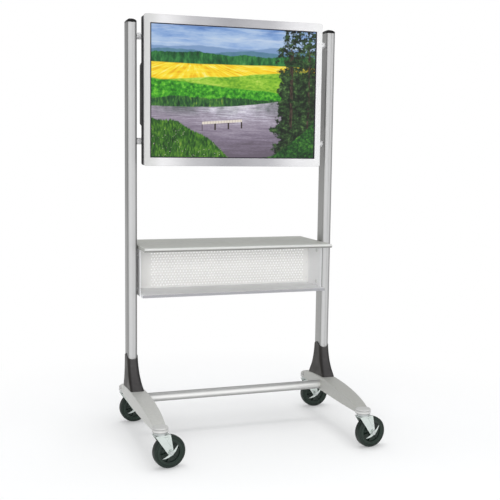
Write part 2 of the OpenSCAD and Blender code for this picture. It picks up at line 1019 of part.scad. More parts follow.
// right hand side panel: a folded sheet with three inward flanges
module side_panel() {
    y0 = -panel_front;
    y1 = panel_back + 2 * sheet_t;
    difference() {
        union() {
            translate([inner_half, y0, panel_low_z])
                cube([sheet_t, y1 - y0, board_z - panel_low_z]);
            translate([inner_half - flange_w, y0, board_z - sheet_t])
                cube([flange_w + sheet_t, panel_depth, sheet_t]);
            translate([inner_half - flange_w, y0, lower_sheet_z - sheet_t])
                cube([flange_w + sheet_t, panel_depth, sheet_t]);
            translate([inner_half - flange_w, y1 - sheet_t, lower_shelf_z])
                cube([flange_w + sheet_t, sheet_t, board_z - lower_shelf_z - sheet_t]);
        }
        for (z = shelf_bolt_zs)
            translate([inner_half, 0, z])
                rod_x(-over, shelf_bolt_r + fit, sheet_t + 2 * over);
        for (y = along_ys)
            translate([inner_half - flange_w / 2, y, 0]) {
                translate([0, 0, board_z - sheet_t - over])
                    cylinder(r = board_screw_r + fit, h = sheet_t + 2 * over, $fn = round_fn);
                translate([0, 0, lower_sheet_z - sheet_t - over])
                    cylinder(r = rivet_r + fit, h = sheet_t + 2 * over, $fn = round_fn);
            }
        for (z = rear_rivet_zs)
            translate([inner_half - flange_w / 2, 0, z])
                rod_y(panel_back, rivet_r + fit, 2 * sheet_t + over);
    }
}

module left_side_panel() {
    color(light)
        seated()
            mirror([1, 0, 0])
                side_panel();
}

module right_side_panel() {
    color(light)
        seated()
            side_panel();
}

// rows of round holes, every second row moved by half a pitch
module perforation() {
    for (row = [0 : hole_rows])
        for (col = [0 : hole_cols - row % 2])
            translate([field_x + (col - hole_cols / 2 + (row % 2) / 2) * hole_pitch,
                (row - hole_rows / 2) * row_pitch])
                circle(r = hole_r, $fn = round_fn);
}

module perforated_panel() {
    color(light)
        seated()
            difference() {
                translate([0, 0, lower_shelf_z + panel_h / 2])
                    upright(panel_back, sheet_t)
                        difference() {
                            square([2 * inner_half, panel_h], center = true);
                            perforation();
                        }
                both_sides()
                    for (z = rear_rivet_zs)
                        translate([inner_half - flange_w / 2, 0, z])
                            rod_y(panel_back - over, rivet_r + fit, sheet_t + 2 * over);
            }
}

module lower_shelf() {
    depth = lower_shelf_front + panel_back + sheet_t;
    apron = lower_shelf_front - panel_front;
    color(light)
        seated()
            difference() {
                union() {
                    translate([-inner_half, -lower_shelf_front, lower_sheet_z])
                        cube([2 * inner_half, depth, sheet_t]);
                    translate([-inner_half, -lower_shelf_front, panel_low_z])
                        cube([2 * inner_half, sheet_t, lip_h]);
                    both_sides()
                        translate([inner_half - sheet_t, -lower_shelf_front, panel_low_z])
                            cube([sheet_t, apron, lip_h]);
                }
                both_sides()
                    for (y = along_ys)
                        translate([inner_half - flange_w / 2, y, lower_sheet_z - over])
                            cylinder(r = rivet_r + fit, h = sheet_t + 2 * over, $fn = round_fn);
            }
}

module shelf_spacers() {
    color(black)
        seated()
            both_sides()
                for (z = shelf_bolt_zs)
                    translate([compartment_half, 0, z])
                        difference() {
                            rod_x(0, spacer_r, spacer_l);
                            rod_x(-over, shelf_bolt_r + fit, spacer_l + 2 * over);
                        }
}

module shelf_bolts() {
    color(chrome)
        seated()
            both_sides()
                for (z = shelf_bolt_zs)
                    translate([inner_half, 0, z]) {
                        rod_x(-shelf_bolt_head_h, shelf_bolt_head_r, shelf_bolt_head_h);
                        rod_x(-over, shelf_bolt_r, sheet_t + spacer_l + 2 * post_wall + over);
                    }
}

module board_screws() {
    color(chrome)
        seated()
            both_sides()
                for (y = along_ys)
                    translate([inner_half - flange_w / 2, y, board_z - sheet_t]) {
                        cylinder(r = board_screw_r, h = sheet_t + board_screw_l, $fn = round_fn);
                        translate([0, 0, -board_screw_r])
                            cylinder(r = board_screw_head_r, h = board_screw_r, $fn = round_fn);
                    }
}

// a rivet that holds two sheets together, its axis along z
module rivet() {
    cylinder(r = rivet_r, h = 2 * sheet_t, $fn = round_fn);
    for (z = [-rivet_head_h, 2 * sheet_t])
        translate([0, 0, z])
            cylinder(r = rivet_head_r, h = rivet_head_h, $fn = round_fn);
}

module sheet_rivets() {
    color(silver)
        seated()
            both_sides() {
                for (y = along_ys)
                    translate([inner_half - flange_w / 2, y, lower_sheet_z - sheet_t])
                        rivet();
                for (z = rear_rivet_zs)
                    translate([inner_half - flange_w / 2, panel_back, z])
                        rotate([-90, 0, 0])
                            rivet();
            }
}

// casters, drawn round the stem axis with the axle towards +x

module at_caster(side, y, turn) {
    seated()
        translate([side * stem_x(y), stem_y(y), 0])
            rotate([0, 0, turn])
                children();
}

module caster_stems() {
    race_z = crown_top + race_split;
    head_h = stem_r / 2;
    color(chrome)
        seated()
            both_sides()
                for (y = [-front_reach, rear_reach])
                    translate([stem_x(y), stem_y(y), 0]) {
                        translate([0, 0, crown_z - gap - head_h])
                            cylinder(r = stem_r + head_h, h = head_h, $fn = round_fn);
                        translate([0, 0, crown_z - gap - head_h])
                            cylinder(r = stem_r, h = foot_bottom_z + stem_l - crown_z, $fn = round_fn);
                        translate([0, 0, race_z])
                            cylinder(r = race_r, h = foot_bottom_z - race_z, $fn = round_fn);
                    }
}

module fork() {
    difference() {
        union() {
            for (y = [-fork_half - fork_t, fork_half])
                upright(y, fork_t)
                    hull() {
                        translate([-crown_front, crown_z])
                            square([crown_front + crown_back, fork_t]);
                        translate([trail, wheel_z])
                            circle(r = fork_end_r, $fn = hull_fn);
                    }
            translate([-crown_front, -fork_half - over, crown_z])
                cube([crown_front + crown_back, fork_gap + 2 * over, fork_t]);
        }
        translate([0, 0, crown_z - over])
            cylinder(r = stem_r + fit, h = fork_t + 2 * over, $fn = round_fn);
        translate([trail, 0, wheel_z])
            rod_y(-fork_half - fork_t - over, axle_r + fit, fork_gap + 2 * fork_t + 2 * over);
    }
}

module race() {
    difference() {
        translate([0, 0, crown_top])
            cylinder(r = race_r, h = race_split - gap, $fn = round_fn);
        translate([0, 0, crown_top - over])
            cylinder(r = stem_r + fit, h = race_split + 2 * over, $fn = round_fn);
    }
}

// bolt with its head at the back and its nut outside the brake lever
module axle() {
    back = fork_half + fork_t;
    nut_y = -back - lever_t - 2 * gap - axle_head_h;
    translate([trail, 0, wheel_z]) {
        rod_y(nut_y - over, axle_r, back - nut_y + 2 * over);
        translate([0, back, 0])
            rotate([-90, 0, 0])
                cylinder(r = axle_head_r, h = axle_head_h, $fn = 6);
        translate([0, nut_y, 0])
            rotate([-90, 0, 0])
                cylinder(r = axle_head_r, h = axle_head_h, $fn = 6);
    }
}

module wheel_core() {
    rim_half = wheel_w / 2 - over;
    translate([trail, 0, wheel_z])
        rotate([90, 0, 0])
            rotate_extrude($fn = round_fn) {
                translate([axle_r + fit, -hub_half])
                    square([hub_r - axle_r - fit, 2 * hub_half]);
                translate([axle_r + fit, -web_t / 2])
                    square([core_r - axle_r - fit, web_t]);
                translate([core_r - core_rim_t, -rim_half])
                    square([core_rim_t, 2 * rim_half]);
            }
}

module tyre() {
    translate([trail, 0, wheel_z])
        rotate([90, 0, 0])
            rotate_extrude($fn = round_fn) {
                translate([core_r, -wheel_w / 2])
                    square([wheel_r - core_r - shoulder_r, wheel_w]);
                translate([wheel_r - shoulder_r - over, shoulder_r - wheel_w / 2])
                    square([shoulder_r + over, wheel_w - 2 * shoulder_r]);
                for (s = [-1, 1])
                    translate([wheel_r - shoulder_r, s * (wheel_w / 2 - shoulder_r)])
                        circle(r = shoulder_r, $fn = round_fn);
            }
}

// crescent between two arcs through the same two tips
module lever() {
    half = lever_l / 2;
    outer_r = (pow(half, 2) + pow(lever_outer, 2)) / (2 * lever_outer);
    inner_r = (pow(half, 2) + pow(lever_inner, 2)) / (2 * lever_inner);
    middle = (lever_outer + lever_inner) / 2;
    translate([trail, 0, wheel_z])
        rotate([0, -lever_angle, 0])
            upright(-fork_half - fork_t - gap - lever_t, lever_t)
                difference() {
                    union() {
                        translate([0, middle / 2])
                            difference() {
                                translate([0, outer_r - lever_outer])
                                    circle(r = outer_r, $fn = round_fn);
                                translate([0, inner_r - lever_inner])
                                    circle(r = inner_r, $fn = round_fn);
                            }
                        circle(r = lever_boss_r, $fn = round_fn);
                    }
                    circle(r = axle_r + fit, $fn = round_fn);
                }
}

module front_left_fork() {
    color(chrome)
        at_caster(-1, -front_reach, turn_front_left)
            fork();
}

module front_left_race() {
    color(char)
        at_caster(-1, -front_reach, turn_front_left)
            race();
}

module front_left_axle() {
    color(chrome)
        at_caster(-1, -front_reach, turn_front_left)
            axle();
}

module front_left_core() {
    color(rubber)
        at_caster(-1, -front_reach, turn_front_left)
            wheel_core();
}

module front_left_tyre() {
    color(rubber)
        at_caster(-1, -front_reach, turn_front_left)
            tyre();
}

module front_left_lever() {
    color(chrome)
        at_caster(-1, -front_reach, turn_front_left)
            lever();
}

module front_right_fork() {
    color(chrome)
        at_caster(1, -front_reach, turn_front_right)
            fork();
}

module front_right_race() {
    color(char)
        at_caster(1, -front_reach, turn_front_right)
            race();
}

module front_right_axle() {
    color(chrome)
        at_caster(1, -front_reach, turn_front_right)
            axle();
}

module front_right_core() {
    color(rubber)
        at_caster(1, -front_reach, turn_front_right)
            wheel_core();
}

module front_right_tyre() {
    color(rubber)
        at_caster(1, -front_reach, turn_front_right)
            tyre();
}

module front_right_lever() {
    color(chrome)
        at_caster(1, -front_reach, turn_front_right)
            lever();
}

module rear_left_fork() {
    color(chrome)
        at_caster(-1, rear_reach, turn_rear_left)
            fork();
}

module rear_left_race() {
    color(char)
        at_caster(-1, rear_reach, turn_rear_left)
            race();
}

module rear_left_axle() {
    color(chrome)
        at_caster(-1, rear_reach, turn_rear_left)
            axle();
}

module rear_left_core() {
    color(rubber)
        at_caster(-1, rear_reach, turn_rear_left)
            wheel_core();
}

module rear_left_tyre() {
    color(rubber)
        at_caster(-1, rear_reach, turn_rear_left)
            tyre();
}

module rear_left_lever() {
    color(chrome)
        at_caster(-1, rear_reach, turn_rear_left)
            lever();
}

module rear_right_fork() {
    color(chrome)
        at_caster(1, rear_reach, turn_rear_right)
            fork();
}

module rear_right_race() {
    color(char)
        at_caster(1, rear_reach, turn_rear_right)
            race();
}

module rear_right_axle() {
    color(chrome)
        at_caster(1, rear_reach, turn_rear_right)
            axle();
}

module rear_right_core() {
    color(rubber)
        at_caster(1, rear_reach, turn_rear_right)
            wheel_core();
}

module rear_right_tyre() {
    color(rubber)
        at_caster(1, rear_reach, turn_rear_right)
            tyre();
}

module rear_right_lever() {
    color(chrome)
        at_caster(1, rear_reach, turn_rear_right)
            lever();
}

left_post();
right_post();
left_post_cap();
right_post_cap();
left_boot();
right_boot();
left_foot();
right_foot();
crossbar();
upper_rail();
lower_rail();
post_bolts();
rail_screws();
display_frame();
display_screen();
display_shell();
display_housing();
display_module();
circuit_board();
board_spacers();
upper_left_hook();
upper_right_hook();
lower_left_hook();
lower_right_hook();
hook_screws();
shelf_board();
shelf_front_trim();
left_side_panel();
right_side_panel();
perforated_panel();
lower_shelf();
shelf_spacers();
shelf_bolts();
board_screws();
sheet_rivets();
caster_stems();
front_left_fork();
front_left_race();
front_left_axle();
front_left_core();
front_left_tyre();
front_left_lever();
front_right_fork();
front_right_race();
front_right_axle();
front_right_core();
front_right_tyre();
front_right_lever();
rear_left_fork();
rear_left_race();
rear_left_axle();
rear_left_core();
rear_left_tyre();
rear_left_lever();
rear_right_fork();
rear_right_race();
rear_right_axle();
rear_right_core();
rear_right_tyre();
rear_right_lever();
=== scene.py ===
import math

import bmesh
import bpy
import numpy as np
from mathutils import Matrix, Vector


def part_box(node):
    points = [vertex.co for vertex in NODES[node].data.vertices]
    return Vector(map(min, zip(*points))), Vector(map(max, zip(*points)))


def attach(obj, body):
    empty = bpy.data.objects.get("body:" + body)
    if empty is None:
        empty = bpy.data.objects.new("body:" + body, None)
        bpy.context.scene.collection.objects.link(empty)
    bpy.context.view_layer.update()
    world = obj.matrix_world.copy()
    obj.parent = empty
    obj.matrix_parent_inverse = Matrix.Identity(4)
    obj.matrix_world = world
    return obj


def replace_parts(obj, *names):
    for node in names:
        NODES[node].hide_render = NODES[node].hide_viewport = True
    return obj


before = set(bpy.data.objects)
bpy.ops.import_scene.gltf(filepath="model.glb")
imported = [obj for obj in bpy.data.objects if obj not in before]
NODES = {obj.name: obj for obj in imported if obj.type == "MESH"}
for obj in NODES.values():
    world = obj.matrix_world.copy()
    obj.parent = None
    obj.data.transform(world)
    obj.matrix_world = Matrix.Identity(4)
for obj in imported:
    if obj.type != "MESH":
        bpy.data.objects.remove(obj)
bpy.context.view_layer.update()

# Sizes are in millimetres, from the floor midway between the posts, unless a comment says otherwise.
MM = 0.001
# That point itself, in the row frame and in metres
MIDDLE = (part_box("left_post")[0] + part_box("right_post")[1]) / 2
SIDES = ((-1, "left"), (1, "right"))
UP = Vector((0, 0, 1))
TO_RIGHT = Vector((1, 0, 0))


def place(x, y, z):
    """A point given in millimetres, as the scene has it: in metres and in the row frame."""
    return Vector((MIDDLE.x + x * MM, MIDDLE.y + y * MM, z * MM))


def middle_of(node):
    """The middle of a node's box, in millimetres."""
    low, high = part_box(node)
    spot = (low + high) / 2
    return Vector(((spot.x - MIDDLE.x) / MM, (spot.y - MIDDLE.y) / MM, spot.z / MM))


# Feet: an arch from front to back, half widths at its waist and its ends, rounds along its edges
FOOT_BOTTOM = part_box("left_foot")[0].z / MM
ARCH_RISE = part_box("left_foot")[1].z / MM - FOOT_BOTTOM
FOOT_X = 427
TOE_IN = math.radians(0.8)
ARCH_Y = -110
ARCH_FRONT = 370
ARCH_REAR = 292
FRONT_STEM_Y = -468
REAR_STEM_Y = 142
FOOT_WAIST = 34
FOOT_END = 24
ROUND_ABOVE = 5
ROUND_BELOW = 2

# A front stem that reaches over the limit ends at the top given here, inside its foot
STEM_LIMIT = 158
STEM_TOP = 156

# Cuts in the feet, and how far their cutters stand out
TUBE_SOCKET_R = 19.4
TUBE_SOCKET_X = 403
TUBE_SOCKET_DEPTH = 40
BOLT_RECESS_R = 8.3
BOLT_RECESS_Y = 18
BOLT_RECESS_DEPTH = 10
OVERRUN = 4

# Boots over the ends of the posts, and how far their skin spreads at the base
POST_X = 435
POST_HALF_X = 20
POST_HALF_Y = 32
POST_CORNER = 8
BOOT_FIT = 0.3
BOOT_WALL = 3
BOOT_BASE = 181
BOOT_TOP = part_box("left_boot")[1].z / MM
BOOT_CORNER = 16.5
CORNER_LOSS = 5
SPREAD_INWARD = 13
SPREAD_OUTWARD = -0.5
SPREAD_FRONT = 81
SPREAD_BACK = 29

# Casters: how far the axle trails the stem, and half the width inside a fork
WHEEL_R = 63.5
WHEEL_SIDES = 96
TRAIL = 35
FORK_HALF = 18.5
FORK_WALL = 3

# Each caster's side, place along the foot and turn about its stem in degrees
CASTERS = {
    "front_left": (-1, FRONT_STEM_Y, 8),
    "front_right": (1, FRONT_STEM_Y, 8),
    "rear_left": (-1, REAR_STEM_Y, 4),
    "rear_right": (1, REAR_STEM_Y, 0),
}

# The screen reaches under its frame by this much on each side
SCREEN_LAP = 3

# The photograph's camera: focal length and frame in pixels, then its place and its turns
FOCAL_PX = 901.16
FRAME_PX = 500
CAMERA_AT = (-1179.56, -3676.1, 1213.94)
YAW = math.radians(19.025)
PITCH = math.radians(6.608)
ROLL = math.radians(0.751)
SENSOR_WIDTH = 36

# Room, in metres
FLOOR_REACH = 14
FLOOR_Z = -0.0005
FLOOR_TONE = 0.80
FLOOR_FILL = 0.2
FADE_FROM = 0.75
FADE_TO = 1.7


# Node trees

def linear(hexa):
    """An sRGB hex colour as linear RGBA."""
    parts = [int(hexa[i:i + 2], 16) / 255 for i in (0, 2, 4)]
    return tuple(c / 12.92 if c <= 0.04045 else ((c + 0.055) / 1.055) ** 2.4 for c in parts) + (1,)


class Value:
    """An output of a node, for sums written as in Python."""

    def __init__(self, tree, socket):
        self.tree = tree
        self.socket = socket

    def __add__(self, other):
        return self.tree.math("ADD", self, other)

    def __sub__(self, other):
        return self.tree.math("SUBTRACT", self, other)

    def __rsub__(self, other):
        return self.tree.math("SUBTRACT", other, self)

    def __mul__(self, other):
        return self.tree.math("MULTIPLY", self, other)

    def __rtruediv__(self, other):
        return self.tree.math("DIVIDE", other, self)


class Tree:
    """Short calls that make and join the nodes of one tree."""

    def __init__(self, tree):
        self.nodes = tree.nodes
        self.links = tree.links

    def node(self, kind, **props):
        n = self.nodes.new("ShaderNode" + kind)
        for key, value in props.items():
            setattr(n, key, value)
        return n

    def out(self, node, name=0):
        return Value(self, node.outputs[name])

    def feed(self, socket, value):
        """Joins an output to a socket, or sets it to a plain value."""
        if isinstance(value, Value):
            self.links.new(value.socket, socket)
        else:
            socket.default_value = value

    def math(self, kind, a, b=None):
        n = self.node("Math", operation=kind)
        self.feed(n.inputs[0], a)
        if b is not None:
            self.feed(n.inputs[1], b)
        return self.out(n)

    def map_range(self, value, a, b, lo=0.0, hi=1.0, **props):
        n = self.node("MapRange", **props)
        fed = {"Value": value, "From Min": a, "From Max": b, "To Min": lo, "To Max": hi}
        for key, part in fed.items():
            self.feed(n.inputs[key], part)
        return self.out(n, "Result")

    def ramp(self, value, stops, interpolation="LINEAR"):
        """Colours by value, from (value, hex colour or linear RGBA) stops."""
        n = self.node("ValToRGB")
        n.color_ramp.interpolation = interpolation
        elements = n.color_ramp.elements
        while len(elements) < len(stops):
            elements.new(0.5)
        for element, (at, colour) in zip(elements, stops):
            element.position = at
            element.color = linear(colour) if isinstance(colour, str) else colour
        self.feed(n.inputs["Fac"], value)
        return self.out(n, "Color")

    def mix(self, share, a, b, blend="MIX"):
        n = self.node("Mix", data_type="RGBA", blend_type=blend)
        self.feed(n.inputs["Factor"], share)
        self.feed(n.inputs["A"], a)
        self.feed(n.inputs["B"], b)
        return self.out(n, "Result")

    def axis(self, vector, name):
        n = self.node("SeparateXYZ")
        self.feed(n.inputs[0], vector)
        return self.out(n, name)

    def mix_shader(self, share, a, b):
        n = self.node("MixShader")
        for socket, part in zip(n.inputs, (share, a, b)):
            self.feed(socket, part)
        return self.out(n)


# Materials

class Mat(Tree):
    """One principled material, built up by calls that can be chained."""

    def __init__(self, name):
        self.material = bpy.data.materials.new(name)
        self.material.use_nodes = True
        super().__init__(self.material.node_tree)
        self.inputs = self.nodes["Principled BSDF"].inputs
        self.spot = self.out(self.node("TexCoord"), "Object")
        self.colour = None

    def set(self, **values):
        for key, value in values.items():
            self.inputs[key.replace("_", " ")].default_value = value
        return self

    def scaled(self, scale):
        n = self.node("Mapping")
        n.inputs["Scale"].default_value = scale
        self.feed(n.inputs["Vector"], self.spot)
        return self.out(n, "Vector")

    def noise(self, scale, detail, stretch=(1, 1, 1)):
        n = self.node("TexNoise")
        n.inputs["Scale"].default_value = scale
        n.inputs["Detail"].default_value = detail
        self.feed(n.inputs["Vector"], self.scaled(stretch))
        return self.out(n, "Fac")

    def paint(self, colour):
        self.colour = colour
        self.feed(self.inputs["Base Color"], colour)
        return self

    def vary(self, hexa, spread, noise):
        """A base colour that gets a little darker and lighter with the noise."""
        stops = []
        for at, factor in ((0.3, 1 - spread), (0.7, 1 + spread)):
            stops.append((at, tuple(min(c * factor, 1) for c in linear(hexa)[:3]) + (1,)))
        return self.paint(self.ramp(noise, stops))

    def rough(self, middle, spread, noise):
        level = self.map_range(noise, 0.3, 0.7, middle - spread, middle + spread)
        self.feed(self.inputs["Roughness"], level)
        return self

    def bump(self, height, strength, distance=0.0002):
        n = self.node("Bump")
        n.inputs["Strength"].default_value = strength
        n.inputs["Distance"].default_value = distance
        self.feed(n.inputs["Height"], height)
        self.feed(self.inputs["Normal"], self.out(n, "Normal"))
        return self

    def times(self, tone):
        return self.paint(self.mix(1, self.colour, tone, "MULTIPLY"))

    def painted_light_by_facing(self, axis, stops):
        """Painted shade and highlight: tones by which way a face looks along an axis of the cart, from -1 at
        0 to 1 at 1.
        """
        normal = self.out(self.node("NewGeometry"), "Normal")
        return self.times(self.ramp(self.map_range(self.axis(normal, axis), -1, 1), stops))

    def across(self, node, stops):
        """A soft run of painted shade and reflection from the left end of a node's box to its right end."""
        low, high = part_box(node)
        share = self.map_range(self.axis(self.spot, "X"), low.x, high.x)
        return self.times(self.ramp(share, stops, "EASE"))

    def sheen_on_edges(self, hexa, amount):
        """Edges a little lighter: a painted sheen highlight along them."""
        pointed = self.out(self.node("NewGeometry"), "Pointiness")
        edges = self.ramp(pointed, [(0.5, "000000"), (0.56, "FFFFFF")])
        return self.paint(self.mix(edges * amount, self.colour, linear(hexa)))


# How a metal's grain is drawn out: a small scale makes it long along that axis
EVEN = (1, 1, 1)
DRAWN_X = (0.03, 1, 1)
DRAWN_Z = (1, 1, 0.03)


def metal(name, hexa, rough, metallic, stretch, spread, scale, bump, fine):
    """A metal whose tone and gloss follow one noise and whose grain follows a finer one."""
    m = Mat(name).set(Metallic=metallic)
    noise = m.noise(scale, 4, stretch)
    return m.vary(hexa, spread, noise).rough(rough, 0.02, noise).bump(m.noise(fine, 2, stretch), bump)


def plastic(name, hexa, rough, spread, grain, bump):
    """A moulded or powder coated surface with a fine grain."""
    m = Mat(name)
    m.vary(hexa, spread, m.noise(60, 4))
    m.rough(rough, 0.07, m.noise(25, 3))
    return m.bump(m.noise(grain, 2), bump)


def post_metal(tag, flank):
    """Drawn aluminium with painted shade on its flanks and towards the right edge of its front, and a
    painted highlight down the front.
    """
    m = metal("post_silver_" + tag, "C9C9C9", 0.34, 0.5, DRAWN_Z, 0.008, 300, 0.004, 900)
    m.painted_light_by_facing("X", [
        (0, flank), (0.15, flank), (0.34, "F6F6F6"), (0.5, "FFFFFF"), (0.66, "F0F0F0"), (0.85, "A8A8A8")])
    # Painted highlight a third of the way across the front, painted shade towards its right edge.
    edge = [(0, "F6F6F6"), (0.3, "FFFFFF"), (0.66, "FAFAFA"), (0.84, "CCCCCC"), (1, "BCBCBC")]
    return m.across(tag + "_post", edge)


def tube_metal():
    m = metal("tube_silver", "F2F2F0", 0.3, 0.6, DRAWN_X, 0.008, 300, 0.004, 900)
    # Painted reflection: darkest on faces that look down, white round the middle, greyer on top.
    return m.painted_light_by_facing("Z", [(0, "8E8E8E"), (0.3, "C4C4C4"), (0.5, "FFFFFF"), (0.68, "FAFAFA"), (0.9, "D4D4D4")])


def pad_metal():
    m = metal("pad_cast", "D3D3D1", 0.36, 0.35, EVEN, 0.03, 90, 0.06, 700)
    # Painted shade on faces that look down, under the groove's lip and the collar.
    return m.painted_light_by_facing("Z", [(0.05, "8C8C8C"), (0.4, "B4B4B4"), (0.5, "FFFFFF")])


def frame_metal():
    m = metal("frame_silver", "EDEDED", 0.32, 0.4, DRAWN_X, 0.006, 400, 0.004, 1500)
    # Painted reflection along the frame: pale near the ends, darker towards the middle.
    return m.across("display_frame", [
        (0, "D4D4D3"), (0.035, "DCDCDB"), (0.1, "F0EFF0"), (0.3, "C2C1C4"),
        (0.46, "AEADB1"), (0.66, "C0BFC3"), (0.88, "F2F1F3"), (1, "F8F8F8")])


def boot_plastic():
    m = plastic("boot_charcoal", "403E3E", 0.48, 0.1, 1100, 0.2).set(Specular_IOR_Level=0.36)
    # Painted highlight down the front and painted shade at the corners and on the sides, tinted browner
    # there; the edges get a painted sheen.
    m.painted_light_by_facing("X", [
        (0, "C4BCAE"), (0.1, "9A948C"), (0.24, "787470"), (0.4, "E0E0E2"),
        (0.5, "FFFFFF"), (0.62, "D0D0D4"), (0.8, "7C7C7E"), (1, "9C9A98")])
    return m.sheen_on_edges("6A6966", 0.3)


def tray_powder():
    m = plastic("tray_powder", "FBFBFC", 0.5, 0.012, 1800, 0.12)
    # Painted shade on faces that look forward, along the front lip.
    return m.painted_light_by_facing("Y", [(0.05, "A2A2A5"), (0.3, "FFFFFF")])


def trim_plastic():
    m = plastic("trim_light", "CECFCC", 0.42, 0.02, 1500, 0.06)
    # Painted shade on the underside of the trim, darkest on faces that look down.
    return m.painted_light_by_facing("Z", [(0.1, "8A8A88"), (0.4, "C4C4C2"), (0.54, "FFFFFF")])


LOOKS = {
    # The flank tone is painted shade, darker on the left post than on the right one.
    "left_post": post_metal("left", "B2B2B1"),
    "right_post": post_metal("right", "D2D2D0"),
    # The feet are one cast metal; the right foot's copy is darker by painted shade.
    "left_foot": metal("foot_cast_left_lit", "CBCBC7", 0.42, 0.3, EVEN, 0.04, 90, 0.12, 700),
    "right_foot": metal("foot_cast_right_shaded", "BDBDB8", 0.42, 0.3, EVEN, 0.04, 90, 0.12, 700),
    "pad": pad_metal(),
    "tube": tube_metal(),
    "rail": metal("rail_silver", "F2F2F3", 0.3, 0.3, DRAWN_X, 0.01, 300, 0.006, 900),
    "frame": frame_metal(),
    "chrome": metal("fork_chrome", "D0D8D4", 0.24, 0.7, EVEN, 0.04, 60, 0.05, 500),
    "zinc": metal("zinc_plate", "C6CBCA", 0.3, 0.85, EVEN, 0.06, 200, 0.05, 900),
    "hook": metal("hook_steel", "8E8F8F", 0.45, 0.4, EVEN, 0.05, 120, 0.1, 900),
    "boot": boot_plastic(),
    "cap": plastic("cap_black", "0E0E0F", 0.5, 0.1, 1500, 0.12),
    "shell": plastic("shell_black", "161618", 0.55, 0.08, 1300, 0.2),
    "housing": plastic("housing_charcoal", "2A2B2D", 0.55, 0.08, 1300, 0.2),
    "spacer": plastic("spacer_grey", "B4B5B4", 0.5, 0.08, 1300, 0.1),
    "module": plastic("module_grey", "8A8C8C", 0.5, 0.05, 800, 0.1),
    "circuit": plastic("circuit_green", "1E5A34", 0.35, 0.2, 500, 0.3),
    # The tyre's edges get a lighter painted sheen highlight.
    "tyre": plastic("tyre_rubber", "081811", 0.55, 0.2, 1500, 0.3).sheen_on_edges("2C4638", 0.3),
    "core": plastic("core_moulded", "0D1F17", 0.42, 0.2, 900, 0.12),
    "panel": plastic("panel_powder", "E8E7E5", 0.5, 0.012, 1800, 0.12),
    "wall": plastic("wall_powder", "FAFAFB", 0.5, 0.012, 1800, 0.12),
    "tray": tray_powder(),
    "paint": plastic("painted_steel", "DEDEDD", 0.45, 0.02, 1500, 0.08),
    "trim": trim_plastic(),
    "laminate": plastic("laminate_grey", "B2B3AD", 0.45, 0.04, 1800, 0.1),
}


def dress(look, *nodes):
    """Gives CAD nodes a material."""
    for node in nodes:
        slots = NODES[node].data.materials
        slots.clear()
        slots.append(look.material)


# Meshes

def link(name, mesh):
    o = bpy.data.objects.new(name, mesh)
    bpy.context.scene.collection.objects.link(o)
    return o


def piece(bm, name, look, body="cart", crease=40):
    """A piece from a finished mesh, smooth but for its edges over crease degrees."""
    bmesh.ops.remove_doubles(bm, verts=bm.verts, dist=1e-7)
    bmesh.ops.recalc_face_normals(bm, faces=bm.faces)
    for face in bm.faces:
        face.smooth = True
    for edge in bm.edges:
        if len(edge.link_faces) == 2 and edge.calc_face_angle(0) > math.radians(crease):
            edge.smooth = False
    mesh = bpy.data.meshes.new(name)
    bm.to_mesh(mesh)
    bm.free()
    mesh.materials.append(look.material)
    o = link(name, mesh)
    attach(o, body)
    return o


def node_mesh(node):
    """A copy of a CAD node's mesh, to work on."""
    bm = bmesh.new()
    bm.from_mesh(NODES[node].data)
    return bm


def mend(bm):
    """Joins doubled points and takes out edges without length."""
    bmesh.ops.remove_doubles(bm, verts=bm.verts, dist=2e-6)
    bmesh.ops.dissolve_degenerate(bm, edges=bm.edges, dist=1e-6)


def bevelled(node, look, width, body="cart", segments=2, hard=30):
    """Replaces a CAD node by its own form with the edges over hard degrees rounded."""
    bm = node_mesh(node)
    mend(bm)
    bmesh.ops.dissolve_limit(bm, angle_limit=math.radians(1), verts=bm.verts, edges=bm.edges)
    edges = [e for e in bm.edges if len(e.link_faces) == 2 and e.calc_face_angle(0) > math.radians(hard)]
    bmesh.ops.bevel(bm, geom=edges, offset=width * MM, offset_type="OFFSET", segments=segments,
                    profile=0.6, affect="EDGES", clamp_overlap=True)
    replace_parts(piece(bm, node + "_v", look, body), node)


def lathe(bm, profile, centre, axis, start, sides, closed=False):
    """Turns (radius, along) points round an axis through centre, which is in metres."""
    across = axis.cross(start)
    rings = []
    for radius, along in profile:
        hub = centre + axis * along * MM
        if radius == 0:
            rings.append([bm.verts.new(hub)] * sides)
            continue
        ring = []
        for i in range(sides):
            a = 2 * math.pi * i / sides
            ring.append(bm.verts.new(hub + (start * math.cos(a) + across * math.sin(a)) * radius * MM))
        rings.append(ring)
    pairs = list(zip(rings, rings[1:]))
    if closed:
        pairs.append((rings[-1], rings[0]))
    for a, b in pairs:
        for i in range(sides):
            j = (i + 1) % sides
            corners = list(dict.fromkeys((a[i], a[j], b[j], b[i])))
            if len(corners) > 2:
                bm.faces.new(corners)


def loft(bm, rows, capped=False):
    """Joins closed rows of points, in metres, into a skin."""
    rings = [[bm.verts.new(p) for p in row] for row in rows]
    count = len(rings[0])
    for a, b in zip(rings, rings[1:]):
        for i in range(count):
            j = (i + 1) % count
            bm.faces.new((a[i], a[j], b[j], b[i]))
    if capped:
        bm.faces.new(list(reversed(rings[0])))
        bm.faces.new(rings[-1])


def arc(x, y, r, start, end, steps):
    """Points along an arc round (x, y), angles in degrees."""
    return [(x + r * math.cos(a), y + r * math.sin(a)) for a in np.radians(np.linspace(start, end, steps))]


def mirror(half):
    """The second half of a profile that is the same on both sides."""
    return [(radius, -along) for radius, along in reversed(half)]


